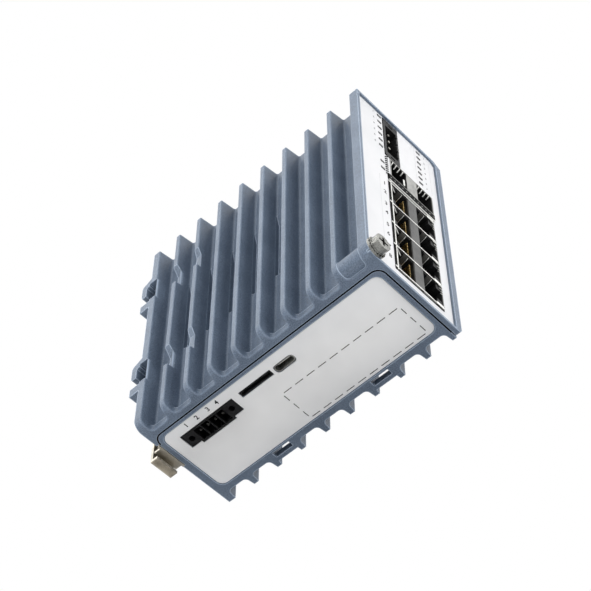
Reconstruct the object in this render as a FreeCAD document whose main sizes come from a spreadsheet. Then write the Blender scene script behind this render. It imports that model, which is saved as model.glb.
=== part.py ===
"""DIN rail ethernet switch: die-cast finned housing, connectors, boards and rail latch.

Every size is a cell of the sheet Dims, in millimetres. Positions are written in housing
coordinates: x to the right from the tips of the left fins, y rearwards from the front
frame, z upwards from the underside. The model's own origin is the middle of the rail seat
on the rear, so locate() takes the seat's place away from every position.
"""
import FreeCAD, Part
import os
import re
import Sketcher

SIZES = {
    # housing
    "width": 49.5, "height": 112.5, "depth": 114.3,
    "rail_seat_y": 119.3, "rail_centre_z": 62.0, "rail_height": 35.0,
    "fin_pitch": 12.11, "fin_tip": 2.2, "fin_draft": 0.8, "valley_count": 9, "first_valley": 4.3,
    "root_radius": 0.9, "lip_root": 1.8, "tip_radius": 0.45, "corner_radius": 4.2,
    "left_floor": 7.0, "left_lip": 5.8, "left_inner": 9.9, "lip_height": 3.0,
    "niche_depth": 1.4, "niche_low": 40.0, "niche_high": 81.0, "niche_slope": 6.0,
    "niche_first": 3, "niche_count": 5, "boss_inset": 0.35, "boss_overlap": 1.0,
    "right_fin": 4.9, "right_lip": 4.3, "right_wall": 1.7,
    "cover_thick": 2.5, "rear_thick": 3.0, "seam": 0.5, "seam_x": 8.2,
    "cover_gap": 0.2, "strip_reach": 11.8, "seam_rear": 112.9, "seal_inset": 0.8, "seal_reach": 46.4,
    "seal_riser": 1.5, "seam_radius": 3.4, "seam_turn": 3.9, "rebate_reach": 5.0, "inner_gap": 0.2,
    # front frame
    "frame_thick": 2.0, "front_thick": 3.2, "label_recess": 1.3, "label_thick": 0.25,
    "label_gap": 0.15,
    "rim_left": 1.4, "rim_right": 2.8, "rim_top": 0.8, "rim_bottom": 0.9,
    "frame_cut_x": 4.1, "frame_cut_z": 2.4, "frame_radius": 2.0, "front_gap": 0.5,
    # bottom label
    "base_label_x": 10.2, "base_label_y": 4.5, "base_label_w": 32.1, "base_label_l": 106.5,
    "base_recess": 0.6, "base_label_thick": 0.3, "base_label_radius": 3.4, "base_label_gap": 0.3,
    # tie slots in the right flange
    "tie_x": 43.2, "tie_width": 2.5, "tie_bar": 1.9, "tie_first": 2, "tie_step": 4,
    "tie_niche_height": 14.0, "tie_wall": 1.8,
    # rear hooks and ribs
    "hook_high": 95.5, "hook_spacing": 53.5, "hook_reach": 11.9, "hook_leg": 2.7,
    "hook_web": 3.0, "hook_length": 10.2, "hook_slope": 2.4, "rib_top": 79.8, "rib_height": 4.2,
    "hook_round": 2.2, "hook_end_round": 1.2, "hook_rear": 0.1, "hook_bend": 1.0, "hook_relief": 0.8,
    "notch_top": 86.7, "notch_low": 78.6, "notch_slope": 3.9, "notch_rear": 3.4, "notch_front": 1.8,
    "notch_side": 1.2,
    # housing posts
    "post_radius": 3.2, "post_front_y": 45.6, "post_rear_y": 94.0, "post_low_front": 12.0,
    "screw_head": 2.7, "screw_head_high": 2.0, "thread_gap": 0.05, "pilot_deep": 8.0,
    "post_low_rear": 24.0, "post_high": 100.5, "post_split": 30.0, "post_gap": 0.2,
    "screw_shank": 1.5, "screw_length": 20.0, "screw_pit": 1.45, "screw_pit_deep": 1.2, "hole_gap": 0.2,
    # boards
    "board_thick": 1.6, "board_x": 13.4, "board_front": 4.6, "board_rear": 108.5,
    "boss_radius": 2.5, "small_shank": 1.25, "small_length": 5.0, "small_head": 2.3, "small_head_high": 1.6,
    "board_screw_y": 38.0, "board_screw_span": 62.0, "board_screw_z": 30.0, "board_screw_rise": 46.0,
    "power_screw_y": 58.0, "power_screw_span": 47.0, "power_screw_z": 36.0, "power_screw_rise": 68.0,
    "board_low": 4.0, "board_high": 108.4, "board_gap": 0.5,
    "power_board_x": 33.0, "power_board_front": 52.0, "power_board_low": 32.0,
    # port block
    "jack_pitch": 13.97, "jack_rows": 4, "jack_x": 16.4, "jack_width": 25.4, "jack_z": 6.5,
    "mouth_gap": 0.6, "mouth_side": 0.15, "jack_leg_y": 12.0, "jack_leg_z": 6.0, "jack_leg_step": 40.0,
    "jack_leg_long": 8.0, "jack_leg_high": 3.0, "finger_inset": 4.2, "finger_long": 3.6, "finger_high": 1.4, "finger_thick": 0.25,
    "contact_rise": 1.2, "contact_root": 1.2,
    "jack_height": 57.9, "jack_face": 0.8, "jack_depth": 26.0, "shield_thick": 0.3,
    "jack_strip": 5.1, "jack_mouth": 11.8, "jack_cavity": 7.0, "jack_notch": 2.5,
    "jack_notch_wide": 6.2, "jack_cavity_deep": 14.0,
    "contact_wide": 0.4, "contact_thick": 0.35, "contact_pitch": 1.02, "contact_count": 8,
    "contact_lift": 1.1, "contact_length": 9.0,
    # pluggable optic cages
    "optic_x": 18.6, "optic_wide": 8.9, "optic_step": 14.9, "optic_z": 69.7, "optic_high": 12.1,
    "optic_face": 0.9, "optic_depth": 46.0, "cage_thick": 0.4, "receptacle_deep": 8.0,
    "receptacle_wide": 5.0, "receptacle_gap": 0.9, "optic_leg_y": 10.0, "optic_leg_step": 20.0,
    "optic_leg_long": 5.0, "optic_leg_z": 4.0, "optic_leg_high": 3.0,
    "gasket_x": 16.4, "gasket_wide": 26.4, "gasket_z": 65.7, "gasket_deep": 1.4,
    "gasket_notch_count": 11, "gasket_notch_pitch": 2.2, "gasket_notch_x": 2.0, "gasket_notch_wide": 0.5,
    "gasket_band": 0.9, "gasket_proud": 0.2,
    # power terminal
    "power_x": 15.8, "power_wide": 8.5, "power_z": 82.6, "power_high": 28.4, "power_face": 0.9,
    "power_key": 1.2, "power_side": 1.3, "power_step": 0.5, "power_top_gap": 0.3,
    "power_deep": 12.0, "power_wall": 0.9, "power_cavity": 8.5, "power_poles": 4, "power_pitch": 5.08,
    "pin_side": 1.0, "power_pin_tip": 2.1, "pin_tail": 1.0,
    "power_slot_wide": 2.4, "power_slot_tall": 1.0, "power_slot_step": 12.0, "power_slot_deep": 6.0,
    "power_nick": 1.0, "power_nick_deep": 0.9, "power_foot_z": 4.0, "power_foot_step": 14.0,
    "power_foot_y": 1.0, "power_foot_long": 5.0, "power_foot_high": 4.0,
    # bottom terminal
    "io_wide": 6.2, "io_y": 79.2, "io_long": 25.9, "io_high": 9.2, "io_step": 1.1,
    "io_face": 0.2,
    "io_flange": 4.75, "io_pitch": 3.81, "io_poles": 4, "io_wall": 0.8, "io_cavity": 7.2, "io_partition": 0.5,
    "io_hole": 1.25, "io_hole_inset": 2.75, "io_hole_deep": 6.0, "io_pin_tip": 1.4,
    # service port and card slot
    "usb_y": 49.7, "usb_long": 8.9, "usb_wide": 3.2, "usb_face": 0.5, "usb_deep": 7.4,
    "usb_thick": 0.35, "tongue_long": 6.6, "tongue_thick": 0.7, "tongue_deep": 4.6,
    "card_y": 60.3, "card_long": 15.0, "card_wide": 2.2, "card_face": 0.5, "card_deep": 14.5,
    "card_slot": 1.3, "card_wall": 0.45,
    "cut_gap": 0.3,
    # indicators
    "lamp_left_x": 13.7, "lamp_right_x": 36.9, "lamp_left_pitch": 4.56,
    "lamp_face": 0.85, "lamp_left_z": 109.3, "lamp_right_z": 109.1, "lamp_boss_x": 29.5,
    "lamp_right_pitch": 3.83, "lamp_left_count": 6, "lamp_right_count": 7, "lamp_pair_z": 74.8,
    "lamp_pair_pitch": 4.9, "lamp_wide": 2.1, "lamp_tall": 1.0, "lamp_back": 4.3,
    "lamp_board_y": 7.0, "lamp_board_x": 26.0, "lamp_board_wide": 15.0, "lamp_board_low": 83.4,
    "lamp_board_thick": 1.2, "lamp_post": 1.6, "lamp_post_inset": 2.0, "lamp_gap": 0.05,
    "lamp_bar": 0.8,
    # earth screw
    "earth_shank": 2.0, "earth_head": 3.5, "earth_head_high": 2.5, "earth_length": 12.0,
    "earth_slot_long": 4.6,
    "earth_washer": 4.3, "earth_washer_thick": 0.8, "earth_lock": 3.7, "earth_lock_thick": 0.7,
    "earth_slot": 1.0, "earth_slot_deep": 1.2,
    # rail fixing
    "bracket_x": 12.2, "bracket_wide": 12.8, "bracket_thick": 1.0,
    "bracket_y": 113.1, "recess_wide": 13.4, "bracket_bite": 1.6,
    "bracket_top": 96.0, "bracket_foot": 3.9, "bracket_foot_low": -0.6, "bracket_foot_wide": 10.9,
    "guide_low": 13.2, "guide_high": 42.0, "guide_wall": 1.0, "guide_lip": 2.2, "slide_gap": 0.3,
    "latch_thick": 1.1, "latch_top": 52.0, "latch_step": 12.0,
    "latch_low": -3.9, "latch_rear": 119.1, "latch_tab": 3.5, "catch_wide": 6.8, "catch_rise": 2.6,
    "rail_thick": 1.0, "catch_gap": 1.0, "catch_thick": 1.1, "hook_gap": 0.2, "hook_drop": 2.6,
    "spring_radius": 1.5, "spring_wire": 0.25, "spring_turns": 12,
    "spring_anchor_z": 65.0, "spring_offset": 2.4, "spring_reach": 4.6,
    "anchor_thick": 1.0, "anchor_wide": 5.0, "bracket_screw_low": 70.0, "bracket_screw_high": 90.0,
    # parts on the boards
    "chip_thick": 1.5, "chip_side": 22.0, "chip_y": 52.0, "chip_z": 50.0,
    "memory_side": 10.0, "memory_thick": 1.2, "memory_y": 55.0, "memory_z": 36.0, "memory_step": 13.0,
    "port_chip_side": 12.0, "port_chip_y": 22.0, "port_chip_z": 18.0, "port_chip_step": 20.0,
    "relay_wide": 10.0, "relay_long": 15.0, "relay_high": 12.0, "relay_y": 66.0, "relay_z": 18.0,
    "trafo_wide": 13.0, "trafo_long": 18.0, "trafo_high": 15.5, "trafo_y": 62.0, "trafo_z": 62.0,
    "choke_radius": 6.0, "choke_high": 9.0, "choke_y": 98.0, "choke_z": 78.0,
    "cap_radius": 5.0, "cap_high": 14.0, "cap_z": 42.0, "cap_step": 12.0,
    "link_long": 4.0, "link_high": 20.0, "link_y": 84.0, "link_z": 78.0,
}

doc = FreeCAD.newDocument("ethernet_switch")
dims = doc.addObject("Spreadsheet::Sheet", "Dims")
for row, (word, value) in enumerate(SIZES.items(), start=1):
    dims.set("A%d" % row, word)
    dims.set("B%d" % row, repr(value))
    dims.setAlias("B%d" % row, word)
dims.recompute()

WORDS = re.compile(r"\b(%s)\b" % "|".join(sorted(SIZES, key=len, reverse=True)))
X_WAY = FreeCAD.Vector(1, 0, 0)
Y_WAY = FreeCAD.Vector(0, 1, 0)
Z_WAY = FreeCAD.Vector(0, 0, 1)
PLANES = {
    "XY": FreeCAD.Rotation(),
    "XZ": FreeCAD.Rotation(X_WAY, 90),
    "YZ": FreeCAD.Rotation(FreeCAD.Vector(1, 1, 1), 120),
}
NORMALS = {"XY": Z_WAY, "XZ": Y_WAY, "YZ": X_WAY}
SEAT = ("width / 2", "rail_seat_y", "rail_centre_z")
nodes = []


def link(text):
    """Return an expression whose size names point at the sheet."""
    return WORDS.sub(r"Dims.\1", text)


def size(text):
    """Return the present value of an expression, as a number."""
    return float(dims.evalExpression(WORDS.sub(r"\1", text)))


def node(obj, label):
    """Name an object as a sub-part of the switch."""
    obj.Label = label
    nodes.append(obj)
    return obj


def locate(obj, place, turn=None):
    """Bind an object's place, in housing coordinates, to the sheet."""
    obj.Placement = FreeCAD.Placement(FreeCAD.Vector(), turn or FreeCAD.Rotation())
    for axis, text, seat in zip("xyz", place, SEAT):
        obj.setExpression(".Placement.Base." + axis, link("(%s) - %s" % (text, seat)))


def block(name, corner, sides):
    """Make a box from its lowest corner and its three sides."""
    obj = doc.addObject("Part::Box", name)
    for side, text in zip(("Length", "Width", "Height"), sides):
        obj.setExpression(side, link(text))
    locate(obj, corner)
    return obj


def rod(name, start, radius, length, way):
    """Make a cylinder that runs from start along an axis."""
    obj = doc.addObject("Part::Cylinder", name)
    obj.setExpression("Radius", link(radius))
    obj.setExpression("Height", link(length))
    locate(obj, start, FreeCAD.Rotation(Z_WAY, way))
    return obj


def cut(name, base, tools):
    """Take the tools away from the base."""
    obj = doc.addObject("Part::Cut", name)
    obj.Base = base
    obj.Tool = tools[0] if len(tools) == 1 else fuse(name + "_tools", tools)
    return obj


def fuse(name, pieces):
    """Join pieces into one."""
    obj = doc.addObject("Part::MultiFuse", name)
    obj.Shapes = pieces
    return obj


def group(name, pieces):
    """Hold separate solids in one sub-part."""
    obj = doc.addObject("Part::Compound", name)
    obj.Links = pieces
    return obj


def draw(sketch, corners):
    """Draw a closed outline whose corners are bound to the sheet."""
    points = [FreeCAD.Vector(size(x), size(y), 0) for x, y in corners]
    count = len(points)
    for i, point in enumerate(points):
        sketch.addGeometry(Part.LineSegment(point, points[(i + 1) % count]))
    for i in range(count):
        sketch.addConstraint(Sketcher.Constraint("Coincident", i, 2, (i + 1) % count, 1))
    for i, (x, y) in enumerate(corners):
        for kind, text in (("DistanceX", x), ("DistanceY", y)):
            place = sketch.addConstraint(Sketcher.Constraint(kind, -1, 1, i, 1, size(text)))
            sketch.setExpression("Constraints[%d]" % place, link(text))


def extrude(name, plane, corners, start, length):
    """Extrude an outline in housing coordinates along its plane's normal."""
    sketch = doc.addObject("Sketcher::SketchObject", name + "_outline")
    draw(sketch, corners)
    place = {"XY": ("0", "0", start), "XZ": ("0", start, "0"), "YZ": (start, "0", "0")}[plane]
    locate(sketch, place, PLANES[plane])
    obj = doc.addObject("Part::Extrusion", name)
    obj.Base = sketch
    obj.DirMode = "Custom"
    obj.Dir = NORMALS[plane]
    obj.Solid = True
    obj.setExpression("LengthFwd", link(length))
    return obj


def body(name):
    """Start a body that is drawn in housing coordinates."""
    obj = doc.addObject("PartDesign::Body", name)
    locate(obj, ("0", "0", "0"))
    return obj


def feature(owner, kind, name, plane, corners, start, length):
    """Pad or pocket an outline, from start, along the plane's normal."""
    sketch = owner.newObject("Sketcher::SketchObject", name + "_outline")
    origin = [part for part in owner.Origin.OriginFeatures if part.Role == plane + "_Plane"][0]
    sketch.AttachmentSupport = (origin, [""])
    sketch.MapMode = "FlatFace"
    shift = "-(%s)" % start if plane == "XZ" else start
    sketch.setExpression(".AttachmentOffset.Base.z", link(shift))
    if corners:
        draw(sketch, corners)
    made = owner.newObject("PartDesign::" + kind, name)
    made.Profile = sketch
    made.setExpression("Length", link(length))
    made.Reversed = (plane == "XZ") if kind == "Pad" else (plane != "XZ")
    return made


def round_feature(owner, kind, name, plane, centre, radius, start, length):
    """Pad or pocket a disc, from start, along the plane's normal."""
    made = feature(owner, kind, name, plane, None, start, length)
    sketch = made.Profile[0]
    middle = FreeCAD.Vector(size(centre[0]), size(centre[1]), 0)
    sketch.addGeometry(Part.Circle(middle, Z_WAY, size(radius)))
    for word, text in (("DistanceX", centre[0]), ("DistanceY", centre[1])):
        place = sketch.addConstraint(Sketcher.Constraint(word, -1, 1, 0, 3, size(text)))
        sketch.setExpression("Constraints[%d]" % place, link(text))
    place = sketch.addConstraint(Sketcher.Constraint("Radius", 0, size(radius)))
    sketch.setExpression("Constraints[%d]" % place, link(radius))
    return made


def box_feature(owner, kind, name, low, high):
    """Pad or pocket a rectangular block between two corners."""
    outline = [(low[0], low[1]), (high[0], low[1]), (high[0], high[1]), (low[0], high[1])]
    return feature(owner, kind, name, "XY", outline, low[2], "(%s) - (%s)" % (high[2], low[2]))


def repeat(owner, name, originals, count, step, way="Y"):
    """Repeat features along an axis of the housing."""
    doc.recompute()
    made = owner.newObject("PartDesign::LinearPattern", name)
    made.Originals = originals
    axis = [part for part in owner.Origin.OriginFeatures if part.Role == way + "_Axis"][0]
    made.Direction = (axis, [""])
    made.Mode = "Extent"
    made.setExpression("Length", link("(%s) * (%s - 1)" % (step, count)))
    made.setExpression("Occurrences", link(count))
    owner.Tip = made
    doc.recompute()
    return made


def edges_where(shape, test, way):
    """Name the edges along an axis whose ends both pass a test."""
    found = []
    for i, edge in enumerate(shape.Edges, start=1):
        ends = [vertex.Point for vertex in edge.Vertexes]
        if len(ends) != 2 or (ends[1] - ends[0]).cross(way).Length > 1e-4:
            continue
        if all(test(end) for end in ends):
            found.append("Edge%d" % i)
    return found


def round_edges(owner, name, test, radius, way=Z_WAY):
    """Fillet the edges along an axis, of a body's tip, whose ends pass a test."""
    doc.recompute()
    base = owner.Tip
    names = edges_where(base.Shape, test, way)
    made = owner.newObject("PartDesign::Fillet", name)
    made.Base = (base, names)
    made.setExpression("Radius", link(radius))
    owner.Tip = made
    doc.recompute()
    return made


def near(a, b):
    """Tell whether two lengths are the same."""
    return abs(a - b) < 1e-4


def valley(owner, name, side, floor, low, high):
    """Pocket one tapered valley between two fins and repeat it along the side.

    side is the x of the fin tips, floor the x of the valley's floor.
    """
    length = "fin_pitch - fin_tip"
    reach = "(%s - %s)" % (floor, side)
    taper = "fin_draft * abs%s / left_floor" % reach
    over = "-1" if side == "0" else "width + 1"
    outline = [
        (over, "first_valley"),
        (over, "first_valley + %s" % length),
        (side, "first_valley + %s" % length),
        (floor, "first_valley + %s - %s" % (length, taper)),
        (floor, "first_valley + %s" % taper),
        (side, "first_valley"),
    ]
    made = feature(owner, "Pocket", name, "XY", outline, low, "(%s) - (%s)" % (high, low))
    return repeat(owner, name + "_row", [made], "valley_count", "fin_pitch")


def hook_outline(top):
    """Return the corners, in y and z, of a rear hook whose root is at top."""
    outer = "rail_seat_y + hook_rear"
    inner = "rail_seat_y + hook_rear - hook_leg"
    return [
        ("depth - rear_thick", top),
        ("depth", top),
        (outer, "%s - hook_slope" % top),
        (outer, "%s - hook_length" % top),
        (inner, "%s - hook_length" % top),
        (inner, "%s - hook_slope - hook_web + hook_bend / 2" % top),
        (inner + " - hook_bend", "%s - hook_slope - hook_web + hook_bend" % top),
        ("depth - rear_thick", "%s - hook_web" % top),
    ]


def hooks(owner, name, low_x, reach):
    """Add the two hooks and the two ribs of one side of the rear."""
    for i in range(2):
        top = "(hook_high - hook_spacing * %d)" % i
        feature(owner, "Pad", "%s_hook_%d" % (name, i), "YZ", hook_outline(top), low_x, reach)
        rib = "(rib_top - hook_spacing * %d)" % i
        corners = [("depth - 1", rib + " - rib_height"), ("rail_seat_y", rib + " - rib_height"),
                   ("rail_seat_y", rib), ("depth - 1", rib)]
        feature(owner, "Pad", "%s_rib_%d" % (name, i), "YZ", corners, low_x, reach)
    rear = size("rail_seat_y + hook_rear")
    bends = [size("hook_high - hook_slope - hook_spacing * %d" % i) for i in range(2)]
    ends = [size("hook_high - hook_length - hook_spacing * %d" % i) for i in range(2)]
    for word, places, radius in (("bends", bends, "hook_round"), ("ends", ends, "hook_end_round")):
        round_edges(owner, "%s_hook_%s" % (name, word),
                    lambda p: near(p.y, rear) and min(abs(p.z - z) for z in places) < 1e-4, radius, X_WAY)


RIGHT_FLOOR = "(width - right_fin)"
RIGHT_INNER = "(width - right_fin - right_wall)"
BOARD_FACE = "(board_x + board_thick)"
POSTS = [("post_front_y", "post_low_front"), ("post_front_y", "post_high"),
         ("post_rear_y", "post_low_rear"), ("post_rear_y", "post_high")]
BOARD_SCREWS = [("(board_screw_y + board_screw_span * %d)" % i, "(board_screw_z + board_screw_rise * %d)" % k)
                for i in range(2) for k in range(2)]
POWER_SCREWS = [("(power_screw_y + power_screw_span * %d)" % i, "(power_screw_z + power_screw_rise * %d)" % k)
                for i in range(2) for k in range(2)]
LAMP_BOSSES = ["(lamp_board_low + lamp_post_inset)", "(board_high - lamp_post_inset)"]
BRACKET_SCREWS = ["bracket_screw_low", "bracket_screw_high"]


def window(owner, name, x, z, wide, tall, deep):
    """Cut a rectangular window through the front, centred on x and z."""
    corners = [("%s - %s / 2" % (x, wide), "%s - %s / 2" % (z, tall)),
               ("%s + %s / 2" % (x, wide), "%s - %s / 2" % (z, tall)),
               ("%s + %s / 2" % (x, wide), "%s + %s / 2" % (z, tall)),
               ("%s - %s / 2" % (x, wide), "%s + %s / 2" % (z, tall))]
    return feature(owner, "Pocket", name, "XZ", corners, "-1", "1 + %s" % deep)


def lamp_windows(owner, name, deep):
    """Cut the windows of the three columns of indicators."""
    gap = "(lamp_wide + 2 * lamp_gap)"
    tall = "(lamp_tall + 2 * lamp_gap)"
    columns = [("left", "lamp_left_x", "lamp_left_z", "lamp_left_count", "lamp_left_pitch"),
               ("pair", "lamp_left_x", "lamp_pair_z", "2", "lamp_pair_pitch"),
               ("right", "lamp_right_x", "lamp_right_z", "lamp_right_count", "lamp_right_pitch")]
    for word, x, top, count, pitch in columns:
        low = "(%s - %s * (%s - 1))" % (top, pitch, count)
        first = window(owner, "%s_%s" % (name, word), x, low, gap, tall, deep)
        repeat(owner, "%s_%s_row" % (name, word), [first], count, pitch, "Z")


def front_cuts(owner, name, gap, deep):
    """Cut the openings for the ports and the power terminal through the front."""
    openings = [
        ("jacks", "jack_x", "jack_z", "jack_width", "jack_height"),
        ("optics", "gasket_x", "gasket_z", "gasket_wide", "optic_z + optic_high + cage_thick - gasket_z"),
        ("power", "power_x", "power_z", "power_wide", "power_high"),
    ]
    for word, x, z, wide, tall in openings:
        low = ("%s - %s" % (x, gap), "-1", "%s - %s" % (z, gap))
        high = ("%s + %s + %s" % (x, wide, gap), deep, "%s + %s + %s" % (z, tall, gap))
        box_feature(owner, "Pocket", "%s_%s" % (name, word), low, high)


def make_left_shell():
    """Model the casting with the left fins, the front frame and the earth boss."""
    left = body("left_shell")
    box_feature(left, "Pad", "left_slab", ("0", "0", "0"), ("left_inner", "depth", "height"))
    box_feature(left, "Pad", "front_frame", ("0", "0", "0"), ("width", "frame_thick", "height"))
    box_feature(left, "Pad", "rear_strip", ("left_inner - 1", "seam_rear", "0"),
                ("strip_reach", "depth", "height"))
    for i, (low, high) in enumerate([("-1", "cover_thick + cover_gap"),
                                     ("height - cover_thick - cover_gap", "height + 1")]):
        box_feature(left, "Pocket", "rebate_%d" % i, ("seam_x", "frame_thick", low),
                    ("left_inner + rebate_reach", "seam_rear", high))
    box_feature(left, "Pad", "front_inner",
                ("seam_x", "frame_thick - 0.5", "cover_thick + cover_gap + inner_gap"),
                (RIGHT_INNER + " - 2 * inner_gap", "front_thick", "height - cover_thick - cover_gap - inner_gap"))
    for i, (start, middle) in enumerate([("frame_thick", "frame_thick + seam_turn"),
                                         ("seam_rear - seam_turn", "seam_rear - seam_turn")]):
        for k, (low, high) in enumerate([("0", "cover_thick + cover_gap"),
                                         ("height - cover_thick - cover_gap", "height")]):
            box_feature(left, "Pad", "rebate_fill_%d_%d" % (i, k), ("seam_x", start, low),
                        ("strip_reach", start + " + seam_turn", high))
            round_feature(left, "Pocket", "rebate_turn_%d_%d" % (i, k), "XY", ("seam_x + seam_turn", middle),
                          "seam_turn", low, "%s - (%s)" % (high, low))
    round_edges(left, "lower_round", lambda p: near(p.x, 0) and near(p.z, 0), "corner_radius", Y_WAY)
    round_edges(left, "frame_round", lambda p: near(p.x, size("width")) and near(p.z, 0), "frame_radius",
                Y_WAY)
    corners = [("width - frame_cut_x", "height"), ("width + 1", "height + 1"),
               ("width", "height - frame_cut_z")]
    feature(left, "Pocket", "frame_bevel", "XZ", corners, "-1", "frame_thick + 2")
    hooks(left, "left", "0", "hook_reach")
    for i, (y, z) in enumerate(POSTS):
        round_feature(left, "Pad", "left_post_%d" % i, "YZ", (y, z), "post_radius", "left_inner - 0.5",
                      "post_split - post_gap - left_inner + 0.5")
        round_feature(left, "Pocket", "left_pilot_%d" % i, "YZ", (y, z), "screw_shank + thread_gap",
                      "post_split - pilot_deep", "pilot_deep + 1")
    for i, (y, z) in enumerate(BOARD_SCREWS):
        round_feature(left, "Pad", "board_boss_%d" % i, "YZ", (y, z), "boss_radius", "left_inner - 0.5",
                      "board_x - left_inner + 0.5")
        round_feature(left, "Pocket", "board_pilot_%d" % i, "YZ", (y, z), "small_shank + thread_gap",
                      "left_inner + 0.5", "board_x - left_inner + 0.5")
    for i, z in enumerate(LAMP_BOSSES):
        round_feature(left, "Pad", "lamp_boss_%d" % i, "XZ", ("lamp_boss_x", z), "lamp_post",
                      "front_thick - 0.5", "lamp_board_y - front_thick + 0.5")
    corners = [("rim_left", "rim_bottom"), ("width - rim_right", "rim_bottom"),
               ("width - rim_right", "height - frame_cut_z"), ("width - frame_cut_x - 1", "height - rim_top"),
               ("rim_left", "height - rim_top")]
    feature(left, "Pocket", "front_recess", "XZ", corners, "-1", "1 + label_recess")
    front_cuts(left, "front_cut", "cut_gap", "front_thick + 1")
    lamp_windows(left, "front_lamp", "front_thick + 1")
    valley(left, "left_valley", "0", "left_floor", "lip_height", "height + 1")
    roots = size("left_floor")
    rear = size("depth - fin_tip")
    round_edges(left, "left_roots", lambda p: near(p.x, roots) and 4.5 < p.y < rear, "root_radius")
    valley(left, "left_lip_valley", "0", "left_lip", "-1", "lip_height")
    lip = size("left_lip")
    round_edges(left, "left_lip_roots", lambda p: near(p.x, lip) and p.z < size("lip_height") + 0.01
                and 4.5 < p.y < rear, "lip_root")
    round_edges(left, "left_tips", lambda p: near(p.x, 0) and p.z > size("corner_radius") - 0.01
                and 1 < p.y < rear - 0.1, "tip_radius")
    niche = "left_floor + niche_depth"
    brow = "left_floor - root_radius"
    corners = [(brow, "niche_low"), (niche, "niche_low"), (niche, "niche_high - niche_slope"),
               ("left_floor", "niche_high"), (brow, "niche_high")]
    start = "first_valley + niche_first * fin_pitch + fin_draft"
    first = feature(left, "Pocket", "niche", "XZ", corners, start, "fin_pitch - fin_tip - 2 * fin_draft")
    repeat(left, "niche_row", [first], "niche_count", "fin_pitch")
    for i in range(2):
        drop = "hook_spacing * %d" % i
        box_feature(left, "Pocket", "hook_gap_%d" % i,
                    ("-1", "depth - rear_thick - inner_gap", "rib_top + hook_relief - " + drop),
                    ("seam_x", "depth + 1", "hook_high - hook_web - " + drop))
        for k, deep in enumerate(("notch_rear", "notch_front"), start=1):
            corners = [("-1", "notch_low - " + drop), (deep, "notch_low - " + drop),
                       (deep, "notch_top - " + drop), ("0", "notch_top + notch_slope - " + drop),
                       ("-1", "notch_top + notch_slope - " + drop)]
            start = "depth - fin_tip - fin_pitch * %d - notch_side" % k
            feature(left, "Pocket", "notch_%d_%d" % (i, k), "XZ", corners, start, "fin_tip + 2 * notch_side")
    round_feature(left, "Pad", "earth_boss", "XZ", ("corner_radius", "corner_radius"),
                  "corner_radius - boss_inset", "0", "first_valley + fin_pitch - fin_tip + boss_overlap")
    round_feature(left, "Pocket", "earth_hole", "XZ", ("corner_radius", "corner_radius"),
                  "earth_shank + thread_gap", "-1", "earth_length + 1")
    return node(left, "left_shell")


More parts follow.
